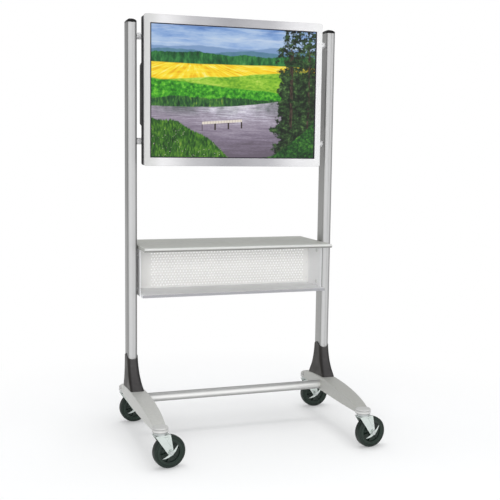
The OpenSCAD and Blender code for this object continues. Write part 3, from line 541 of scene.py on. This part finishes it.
def smooth_table(t, table):
    """Monotone cubic through the table's (place, value) points, so a flare has no kinks."""
    xs = [x for x, _ in table]
    ys = [y for _, y in table]
    slopes = [(y1 - y0) / (x1 - x0) for (x0, y0), (x1, y1) in zip(table, table[1:])]
    tangents = [slopes[0]]
    for a, b in zip(slopes, slopes[1:]):
        tangents.append(0 if a * b <= 0 else 2 * a * b / (a + b))
    tangents.append(slopes[-1])
    i = next((k for k in range(len(slopes)) if t <= xs[k + 1]), len(slopes) - 1)
    h = xs[i + 1] - xs[i]
    u = min(max((t - xs[i]) / h, 0), 1)
    start = (2 * u ** 3 - 3 * u ** 2 + 1) * ys[i] + (u ** 3 - 2 * u ** 2 + u) * h * tangents[i]
    end = (3 * u ** 2 - 2 * u ** 3) * ys[i + 1] + (u ** 3 - u ** 2) * h * tangents[i + 1]
    return start + end


# Feet

def stem(side, y):
    """Where the stem of a caster stands, y along its foot."""
    return side * (FOOT_X + y * math.sin(TOE_IN)), y * math.cos(TOE_IN)


def arch_top(y):
    """Height of the foot's upper side: an ellipse that reaches further forward than back."""
    reach = ARCH_FRONT if y < ARCH_Y else ARCH_REAR
    share = min(abs(y - ARCH_Y) / reach, 0.9999)
    return FOOT_BOTTOM + ARCH_RISE * math.sqrt(1 - share * share)


def foot_half(y):
    """Half the foot's width: an arc between the stems, and a round end behind the rear one."""
    if y > REAR_STEM_Y:
        return math.sqrt(max(FOOT_END ** 2 - (y - REAR_STEM_Y) ** 2, 0.01))
    half = (REAR_STEM_Y - FRONT_STEM_Y) / 2
    drop = FOOT_WAIST - FOOT_END
    radius = (half ** 2 + drop ** 2) / (2 * drop)
    d = y - (REAR_STEM_Y + FRONT_STEM_Y) / 2
    return FOOT_WAIST - radius + math.sqrt(radius ** 2 - d * d)


def foot_section(y):
    """Outline of the foot at y: small rounds below and larger ones above."""
    half, top = foot_half(y), arch_top(y)
    upper = min(ROUND_ABOVE, half * 0.45, (top - FOOT_BOTTOM) * 0.4)
    lower = min(ROUND_BELOW, half * 0.3)
    flank = arc(half - lower, FOOT_BOTTOM + lower, lower, -90, 0, 5)
    flank += arc(half - upper, top - upper, upper, 0, 90, 7)
    return flank + [(-x, z) for x, z in reversed(flank)]


def foot_row(side, y):
    row = []
    for x, z in foot_section(y):
        along = y * math.cos(TOE_IN) - x * math.sin(TOE_IN)
        row.append(place(side * (FOOT_X + x + y * math.sin(TOE_IN)), along, z))
    return row


def foot_cutter(side):
    """Recesses for the bolts underneath and the socket of the tube."""
    tube = middle_of("crossbar")
    bm = bmesh.new()
    low, r = -OVERRUN, BOLT_RECESS_R
    recess = [(0, low), (r, low), (r, BOLT_RECESS_DEPTH), (0, BOLT_RECESS_DEPTH)]
    for y in (-BOLT_RECESS_Y, BOLT_RECESS_Y):
        lathe(bm, recess, place(side * POST_X, y, FOOT_BOTTOM), UP, TO_RIGHT, 32)
    r = TUBE_SOCKET_R
    socket = [(0, -TUBE_SOCKET_DEPTH), (r, -TUBE_SOCKET_DEPTH), (r, 0), (0, 0)]
    lathe(bm, socket, place(side * TUBE_SOCKET_X, tube.y, tube.z), side * TO_RIGHT, UP, 64)
    bmesh.ops.recalc_face_normals(bm, faces=bm.faces)
    mesh = bpy.data.meshes.new("foot_cut")
    bm.to_mesh(mesh)
    bm.free()
    return link("foot_cut", mesh)


def cut(o, cutter):
    """Takes the cutter out of a piece, and deletes the cutter."""
    mod = o.modifiers.new("cut", "BOOLEAN")
    mod.operation = "DIFFERENCE"
    mod.solver = "EXACT"
    mod.object = cutter
    bpy.context.view_layer.update()
    graph = bpy.context.evaluated_depsgraph_get()
    mesh = bpy.data.meshes.new_from_object(o.evaluated_get(graph))
    o.modifiers.clear()
    o.data = mesh
    bpy.data.objects.remove(cutter)


def foot(side, node):
    ys = list(np.linspace(FRONT_STEM_Y, REAR_STEM_Y, 90))
    ys += [REAR_STEM_Y + FOOT_END * math.sin(math.radians(a)) for a in np.linspace(4, 88, 16)]
    bm = bmesh.new()
    loft(bm, [foot_row(side, y) for y in ys], capped=True)
    o = piece(bm, node + "_v", LOOKS[node])
    cut(o, foot_cutter(side))
    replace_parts(o, node)


# Collar over a caster, as (radius, height): a plain band, a groove, a bead and a low crown
PAD_PROFILE = [
    (0, 0), (29.4, 0), (30.6, 1), (31, 3), (31, 9.6), (30.4, 10.8), (29.3, 11.6), (29.3, 12.6),
    (30.4, 13.4), (30.9, 15), (30.7, 17), (29.8, 18.8), (28, 20.2), (25, 21.1), (16, 22.2), (0, 22.6)]


def pads(side, node):
    bm = bmesh.new()
    for y in (FRONT_STEM_Y, REAR_STEM_Y):
        lathe(bm, PAD_PROFILE, place(*stem(side, y), FOOT_BOTTOM), UP, TO_RIGHT, 72)
    piece(bm, node + "_pads", LOOKS["pad"], crease=50)


def stems():
    """The casters' stems, with the front ones ending inside the low ends of the feet."""
    arch_middle = place(0, ARCH_Y, 0).y
    bm = node_mesh("caster_stems")
    for v in bm.verts:
        if v.co.y < arch_middle and v.co.z > STEM_LIMIT * MM:
            v.co.z = STEM_TOP * MM
    mend(bm)
    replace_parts(piece(bm, "caster_stems_v", LOOKS["zinc"], crease=35), "caster_stems")


# Boots

# The flare by height: all of it at the base, none at the top
FLARE = [(0, 1), (0.11, 0.88), (0.31, 0.5), (0.52, 0.24), (0.76, 0.08), (1, 0)]
# The share of each quarter's points that lie on its straight side
STRAIGHT = 0.68
# How far the lobes of the rim stay under the top, and how far its scoops go down from them
LOBE_DROP = 4.5
SCOOP = 20.5


def rounded_rect(u, left, right, front, back, r):
    """Point at share u of the way round, from the front end of the right side.

    Each quarter has the same share of points on its straight side and its corner, so that the
    points of all levels line up.
    """
    x0, x1, y0, y1 = r - left, right - r, r - front, back - r
    centres = ((x1, y0), (x1, y1), (x0, y1), (x0, y0))
    quarter, rest = divmod(4 * u, 1)
    ax, ay = centres[int(quarter) % 4]
    bx, by = centres[(int(quarter) + 1) % 4]
    run = min(rest / STRAIGHT, 1)
    angle = (quarter + max(rest - STRAIGHT, 0) / (1 - STRAIGHT)) * math.pi / 2
    return ax + (bx - ax) * run + r * math.cos(angle), ay + (by - ay) * run + r * math.sin(angle)


def boot_outside(u, z):
    """Outer skin: a tight sleeve at the top that flares forward, back and inward."""
    f = smooth_table((z - BOOT_BASE) / (BOOT_TOP - BOOT_BASE), FLARE)
    half_x, half_y = POST_HALF_X + BOOT_WALL, POST_HALF_Y + BOOT_WALL
    return rounded_rect(
        u, half_x + SPREAD_INWARD * f, half_x + SPREAD_OUTWARD * f,
        half_y + SPREAD_FRONT * f, half_y + SPREAD_BACK * f, BOOT_CORNER - CORNER_LOSS * f)


def boot_inside(u):
    half_x, half_y = POST_HALF_X + BOOT_FIT, POST_HALF_Y + BOOT_FIT
    return rounded_rect(u, half_x, half_x, half_y, half_y, POST_CORNER + BOOT_FIT)


def boot_rim(u):
    """Height of the rim: lobes at the sides, a scoop at the front and one at the back."""
    half_straight, corner = STRAIGHT / 8, (1 - STRAIGHT) / 4
    # lengths walked from the middle of a scoop: along the front, round the corner, along the side
    half_front, bend, half_side = 7, 25, 19
    from_scoop = (u - 0.25 - half_straight) % 0.5
    d = min(from_scoop, 0.5 - from_scoop)
    walk = half_front * min(d / half_straight, 1)
    walk += bend * min(max((d - half_straight) / corner, 0), 1)
    walk += half_side * max((d - half_straight - corner) / half_straight, 0)
    k = walk / (half_front + bend + half_side)
    return BOOT_TOP - LOBE_DROP - SCOOP * (1 - 0.5 * k - 0.5 * k * k * (3 - 2 * k))


def boot_foot(u):
    """Height at which the skin meets the arch of the foot."""
    z = FOOT_BOTTOM + ARCH_RISE
    for _ in range(30):
        z = 0.5 * z + 0.5 * arch_top(boot_outside(u, z)[1])
    return z


def boot(side, node):
    around, levels, lip = 200, 34, 1.0
    us = [i / around for i in range(around)]
    edges = [(u, boot_foot(u), boot_rim(u)) for u in us]

    def at(x, y, z):
        return place(side * (POST_X + x), y, z)

    rows = []
    for j in range(levels + 1):
        row = []
        for u, low, high in edges:
            z = low + (high - lip - low) * j / levels
            row.append(at(*boot_outside(u, z), z))
        rows.append(row)
    # a rounded lip, then down the inside: share of the wall crossed, and height over the rim
    turns = [(0.35 * (1 - math.cos(a)), lip * math.sin(a) - lip) for a in np.radians((30, 60, 90))]
    for share, rise in turns + [(0.8, 0), (1, -0.8), (1, -40), (1, -120)]:
        row = []
        for u, low, high in edges:
            xo, yo = boot_outside(u, high)
            xi, yi = boot_inside(u)
            row.append(at(xo + (xi - xo) * share, yo + (yi - yo) * share, max(high + rise, low + 1)))
        rows.append(row)
    bm = bmesh.new()
    loft(bm, rows)
    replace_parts(piece(bm, node + "_v", LOOKS["boot"], crease=50), node)


# Casters

def tyre_profile():
    """Side wall with a moulded step, rounded shoulder and crowned tread."""
    half = [(46, -16), (50, -16), (51, -15.2), (52.5, -15.2), (53.5, -16), (56.5, -16)]
    for a in np.radians(np.arange(0, 91, 15)):
        half.append((58.5 + 4.4 * math.sin(a), -11 - 5 * math.cos(a)))
    tread = [(WHEEL_R - 0.6 * (h / 11) ** 2, h) for h in (-9, -6, -3, 0, 3, 6, 9)]
    return half + tread + mirror(half)


# Hub with a bearing ring, dished web and rim, as (radius, along) from one side to the middle
CORE_HALF = [
    (5.1, -18), (10.5, -18), (10.5, -16.8), (12.2, -16.8), (13, -16), (14, -9),
    (17, -7), (36, -7), (39, -9), (40, -15), (46, -15)]


def core_ribs(bm, hub, axle):
    """Six ribs on each side of the web, as radius and height from the hub's end to the rim's."""
    hub_end, hub_height, rim_end, rim_height = 13.2, 14.5, 40.2, 13.2
    web, half_width, taper = 6.8, 1.6, 0.75
    corners = (
        (hub_end, -half_width, hub_height), (hub_end, half_width, hub_height),
        (rim_end, half_width, rim_height), (rim_end, -half_width, rim_height))
    for k in range(6):
        a = math.radians(60 * k + 15)
        out = UP * math.cos(a) + axle.cross(UP) * math.sin(a)
        wide = axle.cross(out)
        for side in (-1, 1):
            low_ring, top_ring = [], []
            for radius, sideways, height in corners:
                spot = hub + (out * radius + wide * sideways + axle * side * web) * MM
                low_ring.append(bm.verts.new(spot))
                spot = hub + (out * radius + wide * sideways * taper + axle * side * height) * MM
                top_ring.append(bm.verts.new(spot))
            for i in range(4):
                j = (i + 1) % 4
                bm.faces.new((low_ring[i], low_ring[j], top_ring[j], top_ring[i]))
            bm.faces.new(top_ring)


def fork_ribs(bm, spot, ahead, axle):
    """A pressed rib on each leg of the fork, from the crown down to above the axle."""
    top, bottom = 127, 88
    for side in (-1, 1):
        rows = []
        for inset, proud in ((0, -0.4), (0.3, 0.6), (1.3, 1.5)):
            corners = (
                (8 + inset, top - inset), (27 - inset, top - inset),
                (39.5 - inset, bottom + inset), (34 + inset, bottom + inset))
            out = axle * side * (FORK_HALF + FORK_WALL + proud)
            rows.append([place(*spot, z) + (ahead * x + out) * MM for x, z in corners])
        loft(bm, rows, capped=True)


def caster(tag, side, y, turn):
    spot = stem(side, y)
    t = math.radians(turn)
    ahead = Vector((math.cos(t), math.sin(t), 0))
    axle = Vector((-math.sin(t), math.cos(t), 0))
    hub = place(*spot, WHEEL_R) + ahead * TRAIL * MM
    wheel, swivel = tag + "_wheel", tag + "_swivel"

    bm = bmesh.new()
    lathe(bm, tyre_profile(), hub, axle, UP, WHEEL_SIDES, closed=True)
    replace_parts(piece(bm, tag + "_tyre_v", LOOKS["tyre"], wheel, 30), tag + "_tyre")

    bm = bmesh.new()
    lathe(bm, CORE_HALF + mirror(CORE_HALF), hub, axle, UP, WHEEL_SIDES, closed=True)
    core_ribs(bm, hub, axle)
    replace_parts(piece(bm, tag + "_core_v", LOOKS["core"], wheel, 35), tag + "_core")

    bevelled(tag + "_fork", LOOKS["chrome"], 0.9, swivel, hard=25)
    bm = bmesh.new()
    fork_ribs(bm, spot, ahead, axle)
    piece(bm, tag + "_fork_ribs", LOOKS["chrome"], swivel, 30)
    bevelled(tag + "_race", LOOKS["zinc"], 0.7, swivel)
    bevelled(tag + "_axle", LOOKS["zinc"], 0.5, swivel)
    bevelled(tag + "_lever", LOOKS["chrome"], 0.8, tag + "_brake")


# The picture on the screen

class Picture(Mat):
    """Layers painted with node patterns; u and v run from 0 to 1 across and up the picture."""

    def __init__(self):
        super().__init__("screen_picture")
        low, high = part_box("display_screen")
        lap = SCREEN_LAP * MM
        self.u = self.map_range(self.axis(self.spot, "X"), low.x + lap, high.x - lap)
        self.v = self.map_range(self.axis(self.spot, "Z"), low.z + lap, high.z - lap)
        self.layers = None

    def pattern(self, x, y, seed, detail=4, rough=0.5):
        c = self.node("CombineXYZ")
        self.feed(c.inputs["X"], x)
        self.feed(c.inputs["Y"], y)
        c.inputs["Z"].default_value = seed
        n = self.node("TexNoise")
        n.inputs["Scale"].default_value = 1
        n.inputs["Detail"].default_value = detail
        n.inputs["Roughness"].default_value = rough
        self.feed(n.inputs["Vector"], self.out(c))
        return self.out(n, "Fac")

    def spots(self, x_scale, y_scale, seed, detail=5, rough=0.55):
        return self.pattern(self.u * x_scale, self.v * y_scale, seed, detail, rough)

    def ruffle(self, x_scale, y_scale, seed, detail, size):
        """A small wandering offset, for the edges of layers."""
        return (self.spots(x_scale, y_scale, seed, detail) - 0.5) * size

    def wave(self, mid, size, scale, seed, detail=3):
        """A wandering line of heights across the picture."""
        return (self.pattern(self.u * scale, self.u * 0.01, seed, detail) - 0.5) * size + mid

    def below(self, line, soft=0.003):
        return self.map_range(line - self.v, -soft, soft)

    def between(self, value, low, high, soft):
        """1 between low and high, with soft ends outside them."""
        return self.map_range(value, low - soft, low) * self.map_range(value, high + soft, high)

    def lay(self, share, colour):
        """Lays a colour over the picture where share is 1."""
        self.layers = self.mix(share, self.layers, linear(colour) if isinstance(colour, str) else colour)


def paint_sky(p):
    """Pale near the land, with bands of blue grey cloud, and two rows of far hills."""
    cloud = p.spots(4.5, 15, 1.5, 6, 0.6)
    p.layers = p.ramp(p.v * 0.75 + (cloud - 0.5) * 0.55,
                      [(0.55, "C9D8EA"), (0.66, "A9C2E4"), (0.74, "86A7D8"), (0.82, "5F84C0")])
    p.lay(p.map_range(p.spots(3, 26, 4.4, 5, 0.62), 0.54, 0.72, 0, 0.55), "DDE7F2")
    p.lay(p.below(p.wave(0.845, 0.10, 3.1, 7.1, 4), 0.004), "7E9CC4")
    near = p.ramp(p.spots(16, 10, 2.2), [(0.3, "4F7694"), (0.7, "5F8A9E")])
    p.lay(p.below(p.wave(0.815, 0.09, 4.4, 9.3, 5)), near)


def paint_woods(p):
    """A wooded ridge with darker gaps between the crowns."""
    tone = p.spots(46, 13, 3.3, 6, 0.62) * 0.8 + p.spots(9, 6, 5.1) * 0.25
    wood = p.ramp(tone, [(0.36, "0F3A1E"), (0.5, "20602F"), (0.62, "3A8340"), (0.74, "6AA65A")])
    p.lay(p.below(p.wave(0.79, 0.075, 5.2, 12.2, 6) + p.ruffle(60, 2, 6.6, 3, 0.02)), wood)


def paint_fields(p):
    """A furrowed yellow field seen in perspective, a meadow and a darker green one."""
    depth = 0.06 / p.math("MAXIMUM", 0.78 - p.v, 0.02)
    furrows = p.pattern((p.u - 0.25) * depth * 90, depth * 3, 8.2, 3)
    yellow = p.ramp(furrows * 0.6 + p.spots(10, 40, 2.9) * 0.4,
                    [(0.36, "E8A512"), (0.46, "FBD21E"), (0.56, "FFE93F"), (0.7, "FFFAB0")])
    p.lay(p.below(p.wave(0.715, 0.025, 2.0, 15.7)), yellow)
    meadow = p.ramp(p.spots(40, 60, 6.1, 6, 0.6) * 0.5 + p.spots(5, 14, 1.1) * 0.5,
                    [(0.38, "5E9C1E"), (0.5, "8DC32F"), (0.6, "B4D84E"), (0.72, "DDE985")])
    p.lay(p.below(p.u * 0.10 + p.wave(0.58, 0.06, 2.7, 18.4), 0.004), meadow)
    lush = p.ramp(p.spots(55, 40, 7.7, 6, 0.62),
                  [(0.36, "1E6A12"), (0.5, "3C9A1E"), (0.62, "62BE2C"), (0.74, "9ADA52")])
    p.lay(p.below(p.wave(0.60, 0.05, 3.3, 21.5) - p.u * 0.13, 0.006), lush)


def paint_shore(p):
    """Reeds and bushes along the far shore."""
    reed = p.ramp(p.spots(70, 16, 9.9, 6, 0.65) * 0.75 + p.spots(8, 8, 3.8) * 0.28,
                  [(0.38, "12301A"), (0.5, "24552A"), (0.6, "4B8134"), (0.72, "A6A84A")])
    p.lay(p.below(p.wave(0.455, 0.10, 4.0, 24.6, 6) + p.ruffle(80, 1, 5.5, 3, 0.025), 0.005), reed)


def paint_lake(p):
    """Light along the far shore, mauve grey towards the viewer, with the far bank's dark mirror."""
    near = 0.05 / p.math("MAXIMUM", 0.52 - p.v, 0.02)
    ripple = p.pattern((p.u - 0.5) * (near * 34), near * 95, 3.1, 6, 0.62)
    glare = p.map_range(p.math("ABSOLUTE", p.u + p.v * 0.35 - 0.62), 0.30, 0.0, 0.0, 0.16)
    tone = p.v * 0.85 + (ripple - 0.5) * 0.62 + (p.spots(60, 190, 8.8, 4, 0.6) - 0.5) * 0.26
    tone = tone + glare * p.map_range(p.v, 0.1, 0.4)
    lake = p.ramp(tone, [
        (0.0, "685E6B"), (0.16, "83788A"), (0.3, "A096A6"), (0.42, "CBC6D6"), (0.52, "F4F3FA")])
    from_left = p.u - 0.15
    water = p.below(from_left * (from_left * 0.16) + p.wave(0.385, 0.035, 3.0, 27.3, 4))
    p.lay(water, lake)
    patches = p.map_range(p.spots(9, 5, 6.4, 4), 0.4, 0.62)
    p.lay(p.map_range(p.v, 0.30, 0.385, 0, 0.75) * water * patches, "35493C")


def paint_landing(p):
    """A landing stage of pale planks on dark posts."""
    skew = p.v - p.u * 0.10
    seam = p.map_range(p.math("FRACT", p.u * 60), 0.08, 0.16, 0.45, 1)
    deck = p.between(skew, 0.227, 0.244, 0.003) * p.between(p.u, 0.305, 0.54, 0.005)
    p.lay(deck, p.mix(seam, linear("6E6152"), linear("E6DDD0")))
    posts = p.map_range(p.math("PINGPONG", p.u + 0.02, 0.04), 0.004, 0.0055, 1, 0)
    posts = posts * p.between(p.u, 0.302, 0.543, 0.002)
    posts = posts * p.map_range(skew, 0.175, 0.178) * p.map_range(skew, 0.228, 0.224)
    p.lay(posts, "3A2F2B")


def paint_bank(p):
    """A grass bank with flowers in the lower left corner."""
    blades = p.ramp(p.spots(120, 26, 4.7, 6, 0.66) * 0.7 + p.spots(12, 10, 2.4) * 0.32,
                    [(0.38, "12300F"), (0.5, "2C6019"), (0.61, "5C8F2A"), (0.74, "A9B65A")])
    rise = p.wave(0.30, 0.10, 5.0, 30.2, 6) + p.ruffle(110, 1, 7.9, 3, 0.05) - p.u * p.u * 1.35
    bank = p.below(rise, 0.005)
    p.lay(bank, blades)
    cells = p.node("TexVoronoi")
    cells.inputs["Scale"].default_value = 95
    p.feed(cells.inputs["Vector"], p.scaled((1, 1, 1.4)))
    bloom = p.map_range(p.out(cells, "Distance"), 0.16, 0.10)
    p.lay(bloom * p.map_range(p.spots(7, 9, 11.3), 0.5, 0.56) * bank, "F2D9DC")


def paint_trees(p):
    """Tall trees at the right: broken crowns, two trunks and undergrowth."""
    edge = p.u + p.v * -0.05
    edge = edge + (p.spots(9, 8, 13.1, 7, 0.62) - 0.5) * 0.30 + (p.spots(40, 34, 2.7, 5, 0.7) - 0.5) * 0.10
    gaps = p.map_range(p.spots(34, 30, 9.1, 7, 0.74) + p.v * 0.10, 0.61, 0.65)
    crown = p.map_range(edge, 0.735, 0.75) * (1.0 - gaps * p.map_range(p.v, 0.62, 0.80))
    leaf = p.ramp(p.spots(34, 30, 3.9, 8, 0.72) * 0.75 + p.spots(7, 7, 8.4) * 0.28,
                  [(0.38, "0B130B"), (0.49, "1B2A17"), (0.57, "33502A"), (0.65, "5F8044"), (0.76, "B4C69C")])
    p.lay(crown, leaf)
    bend = p.ruffle(1, 3, 5.2, 2, 0.03)
    bark = p.ramp(p.spots(150, 22, 6.9, 4), [(0.4, "1E1812"), (0.62, "54463A")])
    clear = p.map_range(p.spots(24, 18, 4.1, 5, 0.6), 0.55, 0.49)
    for middle, half, top in ((0.845, 0.012, 0.93), (0.955, 0.008, 0.88)):
        trunk = p.map_range(p.math("ABSOLUTE", p.u + bend - middle), half, half - 0.004)
        height = p.map_range(p.v, 0.22, 0.25) * p.map_range(p.v, top, top - 0.1)
        p.lay(trunk * height * clear, bark)
    under = p.ramp(p.spots(60, 48, 10.4, 7, 0.68) * 0.7 + p.spots(6, 7, 12.8) * 0.34,
                   [(0.38, "0D2410"), (0.5, "1F4A1E"), (0.6, "3C7A2A"), (0.7, "7FA545"), (0.82, "B9A26A")])
    right = p.u - 0.55
    line = right * right * 1.7 + p.wave(-0.03, 0.16, 6.0, 33.1, 6)
    p.lay(p.below(line, 0.006) * p.map_range(p.u, 0.55, 0.56), under)


def screen_picture():
    """A lake between woods and fields, with the thin dark edge of the glass round it."""
    p = Picture()
    for layer in (paint_sky, paint_woods, paint_fields, paint_shore, paint_lake,
                  paint_landing, paint_bank, paint_trees):
        layer(p)
    rim = p.math("MAXIMUM", p.math("ABSOLUTE", p.u - 0.5), p.math("ABSOLUTE", p.v - 0.5))
    p.lay(p.map_range(rim, 0.4915, 0.4945), "1B1420")
    p.feed(p.inputs["Emission Color"], p.layers)
    p.set(Base_Color=(0.006, 0.006, 0.007, 1), Emission_Strength=0.95, Roughness=0.3, Specular_IOR_Level=0.2)
    return p.bump(p.noise(900, 2), 0.02, 0.0001)


# The cart

for side, tag in SIDES:
    foot(side, tag + "_foot")
    pads(side, tag + "_foot")
    boot(side, tag + "_boot")
    dress(LOOKS[tag + "_post"], tag + "_post")
    dress(LOOKS["cap"], tag + "_post_cap")
stems()

dress(LOOKS["tube"], "crossbar")
dress(LOOKS["rail"], "upper_rail", "lower_rail")
dress(LOOKS["zinc"], "post_bolts", "rail_screws", "hook_screws", "board_screws", "board_spacers")
dress(LOOKS["paint"], "shelf_bolts", "sheet_rivets")
dress(LOOKS["spacer"], "shelf_spacers")

dress(screen_picture(), "display_screen")
dress(LOOKS["module"], "display_module")
dress(LOOKS["circuit"], "circuit_board")
dress(LOOKS["shell"], "display_shell")
dress(LOOKS["housing"], "display_housing")
for node in ("upper_left_hook", "upper_right_hook", "lower_left_hook", "lower_right_hook"):
    bevelled(node, LOOKS["hook"], 0.8)
bevelled("display_frame", LOOKS["frame"], 2.2, segments=3)

bevelled("shelf_board", LOOKS["laminate"], 1.0)
dress(LOOKS["trim"], "shelf_front_trim")
dress(LOOKS["wall"], "left_side_panel", "right_side_panel")
dress(LOOKS["panel"], "perforated_panel")
dress(LOOKS["tray"], "lower_shelf")

for tag, (side, y, turn) in CASTERS.items():
    caster(tag, side, y, turn)


# Camera

def set_camera():
    forward = Vector((math.sin(YAW) * math.cos(PITCH), math.cos(YAW) * math.cos(PITCH), -math.sin(PITCH)))
    level = Vector((math.cos(YAW), -math.sin(YAW), 0))
    upright = level.cross(forward)
    right = level * math.cos(ROLL) + upright * math.sin(ROLL)
    top = upright * math.cos(ROLL) - level * math.sin(ROLL)
    data = bpy.data.cameras.new("camera")
    data.sensor_width = SENSOR_WIDTH
    data.lens = FOCAL_PX / FRAME_PX * SENSOR_WIDTH
    data.clip_end = 100
    o = link("camera", data)
    matrix = Matrix((right, top, -forward)).transposed().to_4x4()
    matrix.translation = place(*CAMERA_AT)
    o.matrix_world = matrix
    bpy.context.scene.camera = o


set_camera()


# Light

def backdrop(tree, strength, colour=(1, 1, 1, 1)):
    n = tree.node("Background")
    tree.feed(n.inputs["Color"], colour)
    n.inputs["Strength"].default_value = strength
    return tree.out(n)


def studio_world():
    """Soft pale light; polished parts see a bright front, dim sides and a grey ceiling."""
    world = bpy.data.worlds.new("world")
    bpy.context.scene.world = world
    world.use_nodes = True
    world.node_tree.nodes.clear()
    w = Tree(world.node_tree)
    way = w.out(w.node("TexCoord"), "Generated")
    greys = ((0.0, 0.62), (0.25, 0.4), (0.55, 0.26), (0.72, 0.6), (0.86, 1.0), (1.0, 1.0))
    studio = w.ramp(w.map_range(w.axis(way, "Y"), 1.0, -1.0), [(at, (g, g, g, 1)) for at, g in greys])
    glow = w.node("VectorMath", operation="SCALE")
    w.feed(glow.inputs[0], studio)
    w.feed(glow.inputs["Scale"], w.map_range(w.axis(way, "Z"), 0.15, 0.8, 1.0, 0.5))
    rays = w.node("LightPath")
    room = backdrop(w, 0.6, (0.97, 0.985, 1.0, 1))
    room = w.mix_shader(w.out(rays, "Is Glossy Ray"), room, backdrop(w, 1.08, w.out(glow)))
    room = w.mix_shader(w.out(rays, "Is Camera Ray"), room, backdrop(w, 1.0))
    w.feed(w.node("OutputWorld").inputs["Surface"], room)


def lamp(name, at, target, width, height, power):
    """A soft rectangular lamp that no polished part mirrors; places and sizes in metres."""
    data = bpy.data.lights.new(name, "AREA")
    data.energy = power
    data.shape = "RECTANGLE"
    data.size = width
    data.size_y = height
    o = link(name, data)
    o.location = at
    o.rotation_euler = (Vector(target) - Vector(at)).to_track_quat("-Z", "Y").to_euler()
    o.visible_glossy = False


studio_world()
lamp("top", (0, 0.2, 4.2), (0, 0.1, 0), 2.6, 2.6, 66)
lamp("front", (-1.3, -6.0, 1.7), (0, 0, 0.8), 4.6, 2.6, 205)


# Floor

def floor_paper():
    """Pale paper that keeps the cart's shadow and runs out into plain white further away."""
    m = bpy.data.materials.new("floor")
    m.use_nodes = True
    m.node_tree.nodes.clear()
    t = Tree(m.node_tree)
    diffuse = t.node("BsdfDiffuse")
    diffuse.inputs["Color"].default_value = (FLOOR_TONE, FLOOR_TONE, FLOOR_TONE, 1)
    fill = t.node("Emission")
    fill.inputs["Strength"].default_value = FLOOR_FILL
    paper = t.out(diffuse)
    lit = t.node("AddShader")
    t.feed(lit.inputs[0], paper)
    t.feed(lit.inputs[1], t.out(fill))
    reach = t.node("VectorMath", operation="LENGTH")
    t.feed(reach.inputs[0], t.out(t.node("TexCoord"), "Object"))
    fade = t.map_range(t.out(reach, "Value"), FADE_FROM, FADE_TO, interpolation_type="SMOOTHSTEP")
    seen = t.mix_shader(fade, t.out(lit), t.out(t.node("Emission")))
    rays = t.node("LightPath")
    direct = t.math("MAXIMUM", t.out(rays, "Is Camera Ray"), t.out(rays, "Is Glossy Ray"))
    t.feed(t.node("OutputMaterial").inputs["Surface"], t.mix_shader(direct, paper, seen))
    return m


def floor():
    bm = bmesh.new()
    bm.faces.new([bm.verts.new((x * FLOOR_REACH, y * FLOOR_REACH, FLOOR_Z))
                  for x, y in ((-1, -1), (1, -1), (1, 1), (-1, 1))])
    mesh = bpy.data.meshes.new("floor")
    bm.to_mesh(mesh)
    bm.free()
    mesh.materials.append(floor_paper())
    link("floor", mesh)


floor()
bpy.context.scene.view_settings.view_transform = "Standard"
